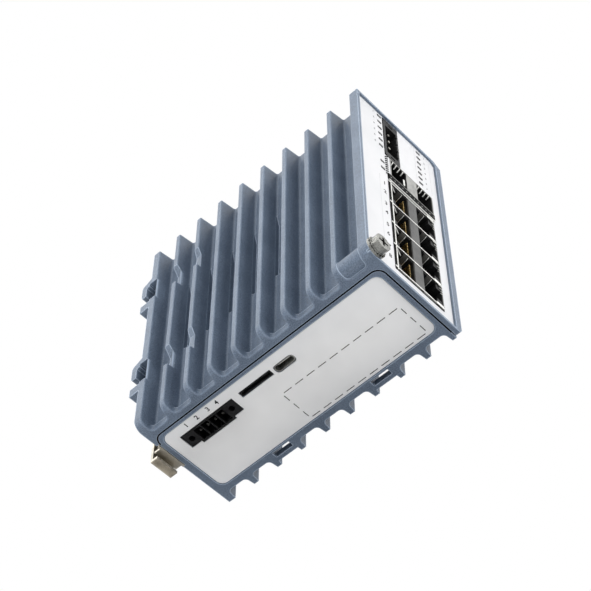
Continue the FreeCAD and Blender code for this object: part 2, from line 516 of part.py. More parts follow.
def make_right_shell():
    """Model the casting with the bottom, the top and the right fins."""
    right = body("right_shell")
    box_feature(right, "Pad", "right_slab", ("seam_x + seam", "frame_thick + front_gap", "0"),
                ("width", "depth", "height"))
    box_feature(right, "Pocket", "hollow", ("seam_x", "0", "cover_thick"),
                (RIGHT_INNER, "depth - rear_thick", "height - cover_thick"))
    box_feature(right, "Pocket", "rear_corner", ("seam_x", "seam_rear - seam", "-1"),
                ("strip_reach + seam", "depth + 1", "height + 1"))
    box_feature(right, "Pocket", "rear_opening", ("seam_x", "depth - 2 * rear_thick", "cover_thick"),
                ("strip_reach + seam", "depth + 1", "height - cover_thick"))
    box_feature(right, "Pocket", "bracket_recess", ("strip_reach", "bracket_y", "-1"),
                ("strip_reach + recess_wide", "depth + 1", "bracket_top + 1"))
    for i, z in enumerate(BRACKET_SCREWS):
        round_feature(right, "Pocket", "bracket_pilot_%d" % i, "XZ", ("bracket_x + bracket_wide / 2", z),
                      "small_shank + thread_gap", "depth - rear_thick - 1", "bracket_y - depth + rear_thick + 2")
    round_edges(right, "cover_round", lambda p: near(p.x, size("seam_x + seam"))
                and (near(p.y, size("frame_thick + front_gap")) or near(p.y, size("seam_rear - seam"))),
                "seam_radius")
    for i in range(2):
        place = "(first_valley + (tie_first + tie_step * %d) * fin_pitch)" % i
        box_feature(right, "Pad", "tie_back_%d" % i, ("tie_x - tie_wall", place, "cover_thick - 1"),
                    (RIGHT_INNER + " + 0.5", place + " + fin_pitch - fin_tip", "tie_niche_height + tie_wall"))
    hooks(right, "right", "width - hook_reach", "hook_reach")
    low = ("base_label_x", "base_label_y", "-1")
    high = ("base_label_x + base_label_w", "base_label_y + base_label_l", "base_recess")
    box_feature(right, "Pocket", "base_recess_cut", low, high)
    xs = [size("base_label_x"), size("base_label_x + base_label_w")]
    ys = [size("base_label_y"), size("base_label_y + base_label_l")]
    round_edges(right, "recess_round", lambda p: min(abs(p.x - x) for x in xs) < 1e-4
                and min(abs(p.y - y) for y in ys) < 1e-4, "base_label_radius")
    base_cuts(right, "base_cut", "cut_gap", "cover_thick + 1")
    for i, (y, z) in enumerate(POSTS):
        round_feature(right, "Pad", "right_post_%d" % i, "YZ", (y, z), "post_radius", "post_split",
                      RIGHT_INNER + " - post_split + 0.5")
        round_feature(right, "Pocket", "right_hole_%d" % i, "YZ", (y, z), "screw_shank + hole_gap",
                      "post_split - 1", RIGHT_FLOOR + " - post_split + 2")
    edge = "(power_board_x + board_thick)"
    for i, (y, z) in enumerate(POWER_SCREWS):
        round_feature(right, "Pad", "power_boss_%d" % i, "YZ", (y, z), "boss_radius", edge,
                      RIGHT_INNER + " - %s + 0.5" % edge)
        round_feature(right, "Pocket", "power_pilot_%d" % i, "YZ", (y, z), "small_shank + thread_gap",
                      edge + " - 1", "small_length")
    valley(right, "right_lip_valley", "width", "(width - right_lip)", "-1", "lip_height")
    lip = size("width - right_lip")
    rear = size("depth - fin_tip")
    round_edges(right, "right_lip_roots", lambda p: near(p.x, lip) and 4.5 < p.y < rear, "lip_root")
    valley(right, "right_valley", "width", RIGHT_FLOOR, "lip_height", "height + 1")
    floor = size(RIGHT_FLOOR)
    round_edges(right, "right_roots", lambda p: near(p.x, floor) and 4.5 < p.y < rear, "root_radius")
    for i in range(2):
        place = "(first_valley + (tie_first + tie_step * %d) * fin_pitch)" % i
        end = "(%s + fin_pitch - fin_tip)" % place
        box_feature(right, "Pad", "tie_bar_%d" % i, (RIGHT_FLOOR + " - 0.5", place, "0"),
                    ("tie_x + tie_width + tie_bar", end, "lip_height"))
        box_feature(right, "Pocket", "tie_slot_%d" % i, ("tie_x", place + " + fin_draft", "-1"),
                    ("tie_x + tie_width", end + " - fin_draft", "lip_height + 0.5"))
        box_feature(right, "Pocket", "tie_niche_%d" % i, ("tie_x", place + " + fin_draft", "lip_height"),
                    (RIGHT_FLOOR + " + 0.5", end + " - fin_draft", "tie_niche_height"))
    return node(right, "right_shell")


def base_cuts(owner, name, gap, high):
    """Cut the openings for the terminal, the card slot and the service port through the bottom."""
    openings = [
        ("io", BOARD_FACE, "io_y", "io_wide", "io_long"),
        ("io_key", BOARD_FACE, "io_y + io_flange", "io_wide + io_step", "io_long - 2 * io_flange"),
        ("card", BOARD_FACE, "card_y", "card_wide", "card_long"),
        ("usb", BOARD_FACE, "usb_y", "usb_wide", "usb_long"),
    ]
    for word, x, y, wide, long in openings:
        low = ("%s - %s" % (x, gap), "%s - %s" % (y, gap), "-1")
        far = ("%s + %s + %s" % (x, wide, gap), "%s + %s + %s" % (y, long, gap), high)
        box_feature(owner, "Pocket", "%s_%s" % (name, word), low, far)
    round_edges(owner, name + "_usb_round", lambda p: near_corner(p, low, far), "usb_wide / 2")


def make_seam_gasket():
    """Model the cord seal that runs around the bottom and top covers of the castings."""
    pieces = []
    for i, (low, high) in enumerate([("seal_inset", "cover_thick + cover_gap"),
                                     ("height - cover_thick - cover_gap", "height - seal_inset")]):
        ring = body("seal_ring_%d" % i)
        box_feature(ring, "Pad", "seal_outer_%d" % i, ("seam_x", "frame_thick", low),
                    ("seal_reach", "seam_rear", high))
        box_feature(ring, "Pocket", "seal_inner_%d" % i, ("seam_x + seam", "frame_thick + front_gap", "-1"),
                    ("seal_reach + 1", "seam_rear - seam", "height + 1"))
        round_edges(ring, "seal_inner_round_%d" % i, lambda p: near(p.x, size("seam_x + seam")), "seam_radius")
        round_edges(ring, "seal_outer_round_%d" % i, lambda p: near(p.x, size("seam_x")), "seam_turn")
        box_feature(ring, "Pocket", "seal_trim_%d" % i, ("strip_reach", "seam_rear - 5", "-1"),
                    ("seal_reach + 1", "depth", "height + 1"))
        pieces.append(ring)
    pieces.append(block("seal_riser", ("seal_reach - seal_riser", "frame_thick", "seal_inset"),
                        ("seal_riser", "front_gap", "height - 2 * seal_inset")))
    return node(fuse("seam_gasket", pieces), "seam_gasket")


def make_front_label():
    """Model the label sheet in the recess of the front frame."""
    sheet = body("front_label")
    gap = "label_gap"
    corners = [("rim_left + " + gap, "rim_bottom + " + gap),
               ("width - rim_right - " + gap, "rim_bottom + " + gap),
               ("width - rim_right - " + gap, "height - frame_cut_z - " + gap),
               ("width - frame_cut_x - 1 - " + gap, "height - rim_top - " + gap),
               ("rim_left + " + gap, "height - rim_top - " + gap)]
    feature(sheet, "Pad", "front_sheet", "XZ", corners, "label_recess - label_thick", "label_thick")
    round_feature(sheet, "Pocket", "sheet_earth", "XZ", ("corner_radius", "corner_radius"),
                  "earth_washer + label_gap", "-1", "front_thick + 1")
    front_cuts(sheet, "sheet_cut", "cut_gap", "front_thick + 1")
    lamp_windows(sheet, "sheet_lamp", "front_thick + 1")
    return node(sheet, "front_label")


def make_bottom_label():
    """Model the label sheet in the recess of the bottom."""
    sheet = body("bottom_label")
    gap = "base_label_gap"
    low = ("base_label_x + " + gap, "base_label_y + " + gap, "base_recess - base_label_thick")
    high = ("base_label_x + base_label_w - " + gap, "base_label_y + base_label_l - " + gap, "base_recess")
    box_feature(sheet, "Pad", "base_sheet", low, high)
    box = [size(text) for text in low]
    far = [size(text) for text in high]
    round_edges(sheet, "base_sheet_round", lambda p: min(abs(p.x - box[0]), abs(p.x - far[0])) < 1e-4
                and min(abs(p.y - box[1]), abs(p.y - far[1])) < 1e-4, "base_label_radius - base_label_gap")
    base_cuts(sheet, "base_sheet_cut", "cut_gap", "cover_thick")
    return node(sheet, "bottom_label")


def prism(name, x, z, start, end):
    """Make one indicator window's light pipe, centred on x and z."""
    return block(name, ("%s - lamp_wide / 2" % x, start, "%s - lamp_tall / 2" % z),
                 ("lamp_wide", "%s - (%s)" % (end, start), "lamp_tall"))


def make_light_pipes():
    """Model the light pipes behind the windows of the front."""
    front = "lamp_face"
    left = [prism("left_lamp_%d" % i, "lamp_left_x", "(lamp_left_z - lamp_left_pitch * %d)" % i, front,
                  "lamp_back") for i in range(SIZES["lamp_left_count"])]
    left += [prism("pair_lamp_%d" % i, "lamp_left_x", "(lamp_pair_z - lamp_pair_pitch * %d)" % i, front,
                   "lamp_back") for i in range(2)]
    left.append(block("left_lamp_bar",
                      ("lamp_left_x - lamp_bar", "front_thick + lamp_gap", "lamp_pair_z - lamp_pair_pitch"),
                      ("2 * lamp_bar", "lamp_back - front_thick - lamp_gap",
                       "lamp_left_z - lamp_pair_z + lamp_pair_pitch")))
    node(fuse("left_light_pipes", left), "left_light_pipes")
    right = [prism("right_lamp_%d" % i, "lamp_right_x", "(lamp_right_z - lamp_right_pitch * %d)" % i, front,
                   "lamp_board_y") for i in range(SIZES["lamp_right_count"])]
    drop = "lamp_right_pitch * (lamp_right_count - 1)"
    right.append(block("right_lamp_bar",
                       ("lamp_right_x - lamp_bar", "lamp_board_y - lamp_bar", "lamp_right_z - " + drop),
                       ("2 * lamp_bar", "lamp_bar", drop)))
    node(fuse("right_light_pipes", right), "right_light_pipes")
    plate = block("lamp_board", ("lamp_board_x", "lamp_board_y", "lamp_board_low"),
                  ("lamp_board_wide", "lamp_board_thick", "board_high - lamp_board_low"))
    node(plate, "lamp_board")


def make_boards():
    """Model the main board and the power board with their holes."""
    plate = block("main_plate", ("board_x", "board_front", "board_low"),
                  ("board_thick", "board_rear - board_front", "board_high - board_low"))
    tools = [rod("main_post_hole_%d" % i, ("board_x - 1", y, z), "post_radius + board_gap",
                 "board_thick + 2", X_WAY) for i, (y, z) in enumerate(POSTS)]
    tools += [rod("main_screw_hole_%d" % i, ("board_x - 1", y, z), "small_shank + hole_gap",
                  "board_thick + 2", X_WAY) for i, (y, z) in enumerate(BOARD_SCREWS)]
    node(cut("main_board", plate, tools), "main_board")
    plate = block("power_plate", ("power_board_x", "power_board_front", "power_board_low"),
                  ("board_thick", "board_rear - power_board_front", "board_high - power_board_low"))
    tools = [rod("power_post_hole_%d" % i, ("power_board_x - 1", y, z), "post_radius + board_gap",
                 "board_thick + 2", X_WAY) for i, (y, z) in enumerate(POSTS[1:]) if i == 2]
    tools += [rod("power_screw_hole_%d" % i, ("power_board_x - 1", y, z), "small_shank + hole_gap",
                  "board_thick + 2", X_WAY) for i, (y, z) in enumerate(POWER_SCREWS)]
    node(cut("power_board", plate, tools), "power_board")


def screw(name, seat, way, shank, length, head, high):
    """Make a screw whose head rests on seat and whose shank runs along way."""
    axis = [name_axis for name_axis, value in zip("xyz", way) if value][0]
    sign = sum(way)
    place = dict(zip("xyz", seat))
    start = dict(place)
    start[axis] = "%s - %s" % (place[axis], high) if sign > 0 else place[axis]
    base = rod(name + "_head", [start[a] for a in "xyz"], head, high, way * sign)
    start = dict(place)
    start[axis] = "%s - 0.2" % place[axis] if sign > 0 else "%s - (%s)" % (place[axis], length)
    stem = rod(name + "_stem", [start[a] for a in "xyz"], shank, "%s + 0.2" % length, way * sign)
    return fuse(name, [base, stem])


def hex_pit(name, seat, way, across, deep):
    """Make the tool for a hexagonal pit in a screw's head, centred on seat."""
    obj = doc.addObject("Part::Prism", name)
    obj.Polygon = 6
    obj.setExpression("Circumradius", link(across))
    obj.setExpression("Height", link(deep))
    locate(obj, seat, FreeCAD.Rotation(Z_WAY, way))
    return obj


def make_screws():
    """Model the screws that hold the boards and the castings."""
    pieces = []
    for i, (y, z) in enumerate(BOARD_SCREWS):
        pieces.append(screw("board_screw_%d" % i, (BOARD_FACE, y, z), -X_WAY, "small_shank",
                            "small_length - 1", "small_head", "small_head_high"))
    for i, (y, z) in enumerate(POWER_SCREWS):
        pieces.append(screw("power_screw_%d" % i, ("power_board_x", y, z), X_WAY, "small_shank",
                            "small_length - 1", "small_head", "small_head_high"))
    node(group("board_screws", pieces), "board_screws")
    pieces = []
    for i, (y, z) in enumerate(POSTS):
        whole = screw("shell_screw_whole_%d" % i, (RIGHT_FLOOR, y, z), -X_WAY, "screw_shank", "screw_length",
                      "screw_head", "screw_head_high")
        pit = hex_pit("shell_screw_pit_%d" % i, (RIGHT_FLOOR + " + screw_head_high - screw_pit_deep", y, z),
                      X_WAY, "screw_pit", "screw_pit_deep + 1")
        pieces.append(cut("shell_screw_%d" % i, whole, [pit]))
    node(group("shell_screws", pieces), "shell_screws")
    spot = ("corner_radius", "-(earth_washer_thick + earth_lock_thick)", "corner_radius")
    whole = screw("ground_screw_whole", spot, Y_WAY, "earth_shank", "earth_length - 1.5", "earth_head",
                  "earth_head_high")
    top = "-(earth_washer_thick + earth_lock_thick + earth_head_high)"
    slots = [block("ground_slot_0", ("corner_radius - earth_slot_long / 2", top + " - 1",
                                     "corner_radius - earth_slot / 2"),
                   ("earth_slot_long", "1 + earth_slot_deep", "earth_slot")),
             block("ground_slot_1", ("corner_radius - earth_slot / 2", top + " - 1",
                                     "corner_radius - earth_slot_long / 2"),
                   ("earth_slot", "1 + earth_slot_deep", "earth_slot_long"))]
    node(cut("ground_screw", whole, slots), "ground_screw")
    for name, radius, start, thick in (
            ("ground_washer", "earth_washer", "-earth_washer_thick", "earth_washer_thick"),
            ("lock_washer", "earth_lock", "-(earth_washer_thick + earth_lock_thick)", "earth_lock_thick")):
        disc = rod(name + "_disc", ("corner_radius", start, "corner_radius"), radius, thick, Y_WAY)
        bore = rod(name + "_bore", ("corner_radius", start + " - 1", "corner_radius"), "earth_shank + thread_gap",
                   thick + " + 2", Y_WAY)
        node(cut(name, disc, [bore]), name)


def make_chips():
    """Model the parts that are soldered to the boards."""
    back = "board_x"
    node(block("processor", (back + " - chip_thick", "chip_y", "chip_z"),
               ("chip_thick", "chip_side", "chip_side")), "processor")
    node(block("thermal_pad", ("left_inner", "chip_y + 2", "chip_z + 2"),
               (back + " - chip_thick - left_inner", "chip_side - 4", "chip_side - 4")), "thermal_pad")
    memories = [block("memory_%d" % i, (back + " - memory_thick", "memory_y + memory_step * %d" % i, "memory_z"),
                      ("memory_thick", "memory_side", "memory_side")) for i in range(2)]
    node(group("memory_chips", memories), "memory_chips")
    drivers = [block("port_chip_%d" % i,
                     (back + " - memory_thick", "port_chip_y", "port_chip_z + port_chip_step * %d" % i),
                     ("memory_thick", "port_chip_side", "port_chip_side")) for i in range(2)]
    node(group("port_chips", drivers), "port_chips")
    node(block("alarm_relay", (BOARD_FACE, "relay_y", "relay_z"), ("relay_high", "relay_long", "relay_wide")),
         "alarm_relay")
    core = block("trafo_core", ("power_board_x - trafo_high", "trafo_y", "trafo_z"),
                 ("trafo_high", "trafo_long", "trafo_wide"))
    waist = block("trafo_waist", ("power_board_x - trafo_high + 3", "trafo_y - 2", "trafo_z + 2"),
                  ("trafo_high - 6", "trafo_long + 4", "trafo_wide - 4"))
    node(fuse("power_transformer", [core, waist]), "power_transformer")
    node(rod("power_choke", ("power_board_x - choke_high", "choke_y", "choke_z"), "choke_radius", "choke_high",
             X_WAY), "power_choke")
    cans = [rod("capacitor_%d" % i, ("power_board_x - cap_high", "choke_y", "cap_z + cap_step * %d" % i),
                "cap_radius", "cap_high", X_WAY) for i in range(3)]
    node(group("bulk_capacitors", cans), "bulk_capacitors")
    node(block("board_link", (BOARD_FACE, "link_y", "link_z"),
               ("power_board_x - board_x - board_thick", "link_long", "link_high")), "board_link")


def make_power_terminal():
    """Model the four-pole power terminal in the front and its pins."""
    corners = [("power_x + power_key", "power_z"), ("power_x + power_wide", "power_z"),
               ("power_x + power_wide", "power_z + power_high"), ("power_x", "power_z + power_high"),
               ("power_x", "power_z + power_key")]
    lip = extrude("power_lip", "XZ", corners, "power_face", "frame_thick - power_face")
    low = "(power_z + power_step)"
    high = "(height - cover_thick - cover_gap - power_top_gap)"
    rear = block("power_rear", ("power_x", "frame_thick - 0.1", low),
                 ("power_wide", "power_deep", "%s - %s" % (high, low)))
    feet = [block("power_foot_%d" % i,
                  (BOARD_FACE, "board_front + power_foot_y",
                   "%s + power_foot_z + power_foot_step * %d" % (low, i)),
                  ("power_x - board_x - board_thick + 0.1", "power_foot_long", "power_foot_high"))
            for i in range(2)]
    middle = "((%s + %s) / 2)" % (low, high)
    left = "(power_x + power_side)"
    right = "(power_x + power_wide - power_wall)"
    across = "((%s + %s) / 2)" % (left, right)
    poles = ["(%s + power_pitch * (%d - (power_poles - 1) / 2))" % (middle, i)
             for i in range(SIZES["power_poles"])]
    tools = [block("power_pit", (left, "0", "%s - power_poles * power_pitch / 2" % middle),
                   ("%s - %s" % (right, left), "power_face + power_cavity", "power_poles * power_pitch"))]
    for sign in "-+":
        tools.append(block("power_slot_%d" % len(tools),
                           (across + " - power_slot_wide / 2", "0",
                            "%s %s power_slot_step - power_slot_tall / 2" % (middle, sign)),
                           ("power_slot_wide", "power_face + power_slot_deep", "power_slot_tall")))
    tools += [block("power_nick_%d" % i, (right + " - 0.1", "0", pole + " - power_nick / 2"),
                    ("power_wall + 1", "power_face + power_nick_deep", "power_nick"))
              for i, pole in enumerate(poles)]

    def pins(word):
        """Make the row of pins of the terminal."""
        return [block("%s_%d" % (word, i),
                      (across + " - pin_side / 2", "power_pin_tip", pole + " - pin_side / 2"),
                      ("pin_side", "frame_thick + power_deep + pin_tail - power_pin_tip", "pin_side"))
                for i, pole in enumerate(poles)]

    holder = fuse("power_holder", [lip, rear] + feet)
    node(cut("power_header", holder, tools + pins("power_pin_way")), "power_header")
    node(group("power_pins", pins("power_pin")), "power_pins")


def make_io_terminal():
    """Model the flanged signal terminal in the bottom and its pins."""
    base = block("io_block", (BOARD_FACE, "io_y", "io_face"), ("io_wide", "io_long", "io_high"))
    key = block("io_key", (BOARD_FACE, "io_y + io_flange", "io_face"),
                ("io_wide + io_step", "io_long - 2 * io_flange", "io_high"))
    poles = ["(io_y + io_long / 2 + io_pitch * (%d - (io_poles - 1) / 2))" % i
             for i in range(SIZES["io_poles"])]
    cells = [block("io_cell_%d" % i,
                   (BOARD_FACE + " + io_wall", pole + " - (io_pitch - io_partition) / 2", "-1"),
                   ("io_wide + io_step - 2 * io_wall", "io_pitch - io_partition", "1 + io_cavity"))
             for i, pole in enumerate(poles)]
    bores = [rod("io_bore_%d" % i, (BOARD_FACE + " + io_wide / 2", y, "-1"), "io_hole", "1 + io_hole_deep", Z_WAY)
             for i, y in enumerate(("io_y + io_hole_inset", "io_y + io_long - io_hole_inset"))]

    def pins(word):
        """Make the row of pins of the terminal."""
        return [block("%s_%d" % (word, i),
                      (BOARD_FACE + " + io_wide / 2 - pin_side / 2", pole + " - pin_side / 2", "io_pin_tip"),
                      ("pin_side", "pin_side", "io_high - io_pin_tip + 2 * pin_tail"))
                for i, pole in enumerate(poles)]

    holder = fuse("io_holder", [base, key])
    node(cut("io_header", holder, cells + bores + pins("io_pin_way")), "io_header")
    node(group("io_pins", pins("io_pin")), "io_pins")


def jack_mouths(length):
    """Make the tools for the mouths of the ports, each with its latch notch."""
    tools = []
    for row in range(SIZES["jack_rows"]):
        middle = "(jack_z + jack_height / 2 + jack_pitch * (%d - (jack_rows - 1) / 2))" % row
        for side in range(2):
            near_edge = "(jack_x + jack_width / 2 %s jack_strip / 2)" % "-+"[side]
            reaches = (("jack_cavity", "jack_mouth"), ("(jack_cavity + jack_notch)", "jack_notch_wide"))
            for k, (reach, wide) in enumerate(reaches):
                low = near_edge if side else "%s - %s" % (near_edge, reach)
                tools.append(block("housing_mouth_%d_%d_%d" % (row, side, k),
                                   (low, "0", "%s - %s / 2" % (middle, wide)), (reach, length, wide)))
    return tools


def shield_mouths():
    """Make the tools for the openings of the shield, one for each port."""
    tools = []
    reach = "(jack_cavity + jack_notch + 2 * mouth_side)"
    for row in range(SIZES["jack_rows"]):
        middle = "(jack_z + jack_height / 2 + jack_pitch * (%d - (jack_rows - 1) / 2))" % row
        for side in range(2):
            near_edge = "(jack_x + jack_width / 2 %s (jack_strip / 2 - mouth_side))" % "-+"[side]
            corner = (near_edge if side else "%s - %s" % (near_edge, reach), "0",
                      middle + " - jack_mouth / 2 - mouth_gap")
            tools.append(block("shield_mouth_%d_%d" % (row, side), corner,
                               (reach, "jack_face + 1", "jack_mouth + 2 * mouth_gap")))
    return tools


def make_jacks():
    """Model the stacked block of eight network ports."""
    outer = block("shield_outer", ("jack_x", "jack_face", "jack_z"), ("jack_width", "jack_depth", "jack_height"))
    inner = block("shield_inner", ("jack_x + shield_thick", "jack_face + shield_thick", "jack_z + shield_thick"),
                  ("jack_width - 2 * shield_thick", "jack_depth - 2 * shield_thick",
                   "jack_height - 2 * shield_thick"))
    legs = [block("shield_leg_%d" % i, (BOARD_FACE, "jack_leg_y", "jack_z + jack_leg_z + jack_leg_step * %d" % i),
                  ("jack_x - board_x - board_thick + 0.1", "jack_leg_long", "jack_leg_high")) for i in range(2)]
    shell = cut("jack_shell", outer, [inner] + shield_mouths())
    node(fuse("jack_shield", [shell] + legs), "jack_shield")
    solid = block("housing_block", ("jack_x + shield_thick", "jack_face + shield_thick", "jack_z + shield_thick"),
                  ("jack_width - 2 * shield_thick", "jack_depth - 2 * shield_thick",
                   "jack_height - 2 * shield_thick"))
    deep = "jack_face + shield_thick + jack_cavity_deep"
    node(cut("jack_housing", solid, jack_mouths(deep)), "jack_housing")
    contacts = body("jack_contacts")
    contacts.AllowCompound = True
    middle = "(jack_x + jack_width / 2)"
    pads = []
    for side, sign in enumerate("-+"):
        edge = "(%s %s jack_strip / 2)" % (middle, sign)
        lift = "(%s %s contact_lift)" % (edge, sign)
        tip = "(%s %s (contact_lift + contact_rise))" % (edge, sign)
        start = "(jack_face + shield_thick + jack_cavity_deep)"
        corners = [(edge, start), (edge, start + " - contact_root"), (tip, start + " - contact_length"),
                   ("%s %s contact_thick" % (tip, sign), start + " - contact_length"),
                   ("%s %s contact_thick" % (edge, sign), start)]
        low = ("(jack_z + jack_height / 2 - jack_pitch * (jack_rows - 1) / 2"
               " - contact_pitch * (contact_count - 1) / 2)")
        pads.append(feature(contacts, "Pad", "contact_%d" % side, "XY", corners, low + " - contact_wide / 2",
                            "contact_wide"))
    doc.recompute()
    row = contacts.newObject("PartDesign::LinearPattern", "contact_grid")
    row.Originals = pads
    axis = [part for part in contacts.Origin.OriginFeatures if part.Role == "Z_Axis"][0]
    row.Direction = (axis, [""])
    row.Mode = "Extent"
    row.setExpression("Length", link("contact_pitch * (contact_count - 1)"))
    row.setExpression("Occurrences", link("contact_count"))
    row.Direction2 = (axis, [""])
    row.Mode2 = "Extent"
    row.setExpression("Length2", link("jack_pitch * (jack_rows - 1)"))
    row.setExpression("Occurrences2", link("jack_rows"))
    contacts.Tip = row
    node(contacts, "jack_contacts")
    fingers = []
    for i in range(SIZES["jack_rows"] + 1):
        row = "(jack_z + jack_height / 2 + jack_pitch * (%d - jack_rows / 2))" % i
        fingers.append(block("finger_%d" % i,
                             ("jack_x + jack_width - finger_inset", "jack_face - finger_thick",
                              row + " - finger_high / 2"), ("finger_long", "finger_thick", "finger_high")))
    node(group("jack_fingers", fingers), "jack_fingers")


def make_optics():
    """Model the pair of cages for pluggable optics with their gasket and receptacles."""
    left = "optic_x - cage_thick"
    wide = "(optic_wide + optic_step + 2 * cage_thick)"
    outer = block("cage_outer", (left, "optic_face", "optic_z - cage_thick"),
                  (wide, "optic_depth", "optic_high + 2 * cage_thick"))
    bays = [block("cage_bay_%d" % i, ("optic_x + optic_step * %d" % i, "0", "optic_z"),
                  ("optic_wide", "optic_face + optic_depth - cage_thick", "optic_high")) for i in range(2)]
    hollow = block("cage_hollow", ("optic_x + optic_wide + cage_thick", "optic_face + cage_thick", "optic_z"),
                   ("optic_step - optic_wide - 2 * cage_thick", "optic_depth - 2 * cage_thick", "optic_high"))
    legs = [block("cage_leg_%d" % i,
                  (BOARD_FACE, "optic_leg_y + optic_leg_step * %d" % i, "optic_z + optic_leg_z"),
                  (left + " - board_x - board_thick + 0.1", "optic_leg_long", "optic_leg_high"))
            for i in range(2)]
    node(fuse("optic_cage", [cut("cage_shell", outer, bays + [hollow])] + legs), "optic_cage")
    rear = "optic_face + optic_depth - cage_thick - receptacle_deep"
    sockets = [block("receptacle_%d" % i, ("optic_x + optic_step * %d" % i, rear, "optic_z + receptacle_gap"),
                     ("receptacle_wide", "receptacle_deep", "optic_high - 2 * receptacle_gap"))
               for i in range(2)]
    node(group("optic_receptacles", sockets), "optic_receptacles")
    strip = body("optic_gasket")
    face = "optic_face - gasket_proud"
    box_feature(strip, "Pad", "gasket_strip", ("gasket_x", face, "gasket_z"),
                ("gasket_x + gasket_wide", face + " + gasket_deep", "optic_z - cage_thick"))
    notch = box_feature(strip, "Pocket", "gasket_notch", ("gasket_x + gasket_notch_x", "-1", "gasket_z - 1"),
                        ("gasket_x + gasket_notch_x + gasket_notch_wide", "gasket_deep + 2",
                         "optic_z - cage_thick - gasket_band"))
    repeat(strip, "gasket_notches", [notch], "gasket_notch_count", "gasket_notch_pitch", "X")
    node(strip, "optic_gasket")


def make_service_ports():
    """Model the service port and the card slot in the bottom."""
    shell = body("usb_shell")
    low = (BOARD_FACE, "usb_y", "usb_face")
    high = (BOARD_FACE + " + usb_wide", "usb_y + usb_long", "usb_face + usb_deep")
    box_feature(shell, "Pad", "usb_outer", low, high)
    inner_low = (low[0] + " + usb_thick", low[1] + " + usb_thick", "-1")
    inner_high = (high[0] + " - usb_thick", high[1] + " - usb_thick", high[2] + " - usb_thick")
    box_feature(shell, "Pocket", "usb_inner", inner_low, inner_high)
    round_edges(shell, "usb_inner_round", lambda p: near_corner(p, inner_low, inner_high),
                "usb_wide / 2 - usb_thick - 0.1")
    round_edges(shell, "usb_outer_round", lambda p: near_corner(p, low, high), "usb_wide / 2 - 0.1")
    node(shell, "usb_shell")
    spot = (BOARD_FACE + " + (usb_wide - tongue_thick) / 2", "usb_y + (usb_long - tongue_long) / 2",
            "usb_face + usb_deep - usb_thick - tongue_deep")
    node(block("usb_tongue", spot, ("tongue_thick", "tongue_long", "tongue_deep")), "usb_tongue")
    holder = block("card_holder", (BOARD_FACE, "card_y", "card_face"), ("card_wide", "card_long", "card_deep"))
    slot = block("card_way", (BOARD_FACE + " + card_wall", "card_y + card_wall", "-1"),
                 ("card_slot", "card_long - 2 * card_wall", "card_face + card_deep"))
    node(cut("card_socket", holder, [slot]), "card_socket")


def near_corner(point, low, high):
    """Tell whether a point lies on one of the upright edges between two corners."""
    return all(min(abs(value - size(low[k])), abs(value - size(high[k]))) < 1e-4
               for k, value in enumerate((point.x, point.y)))


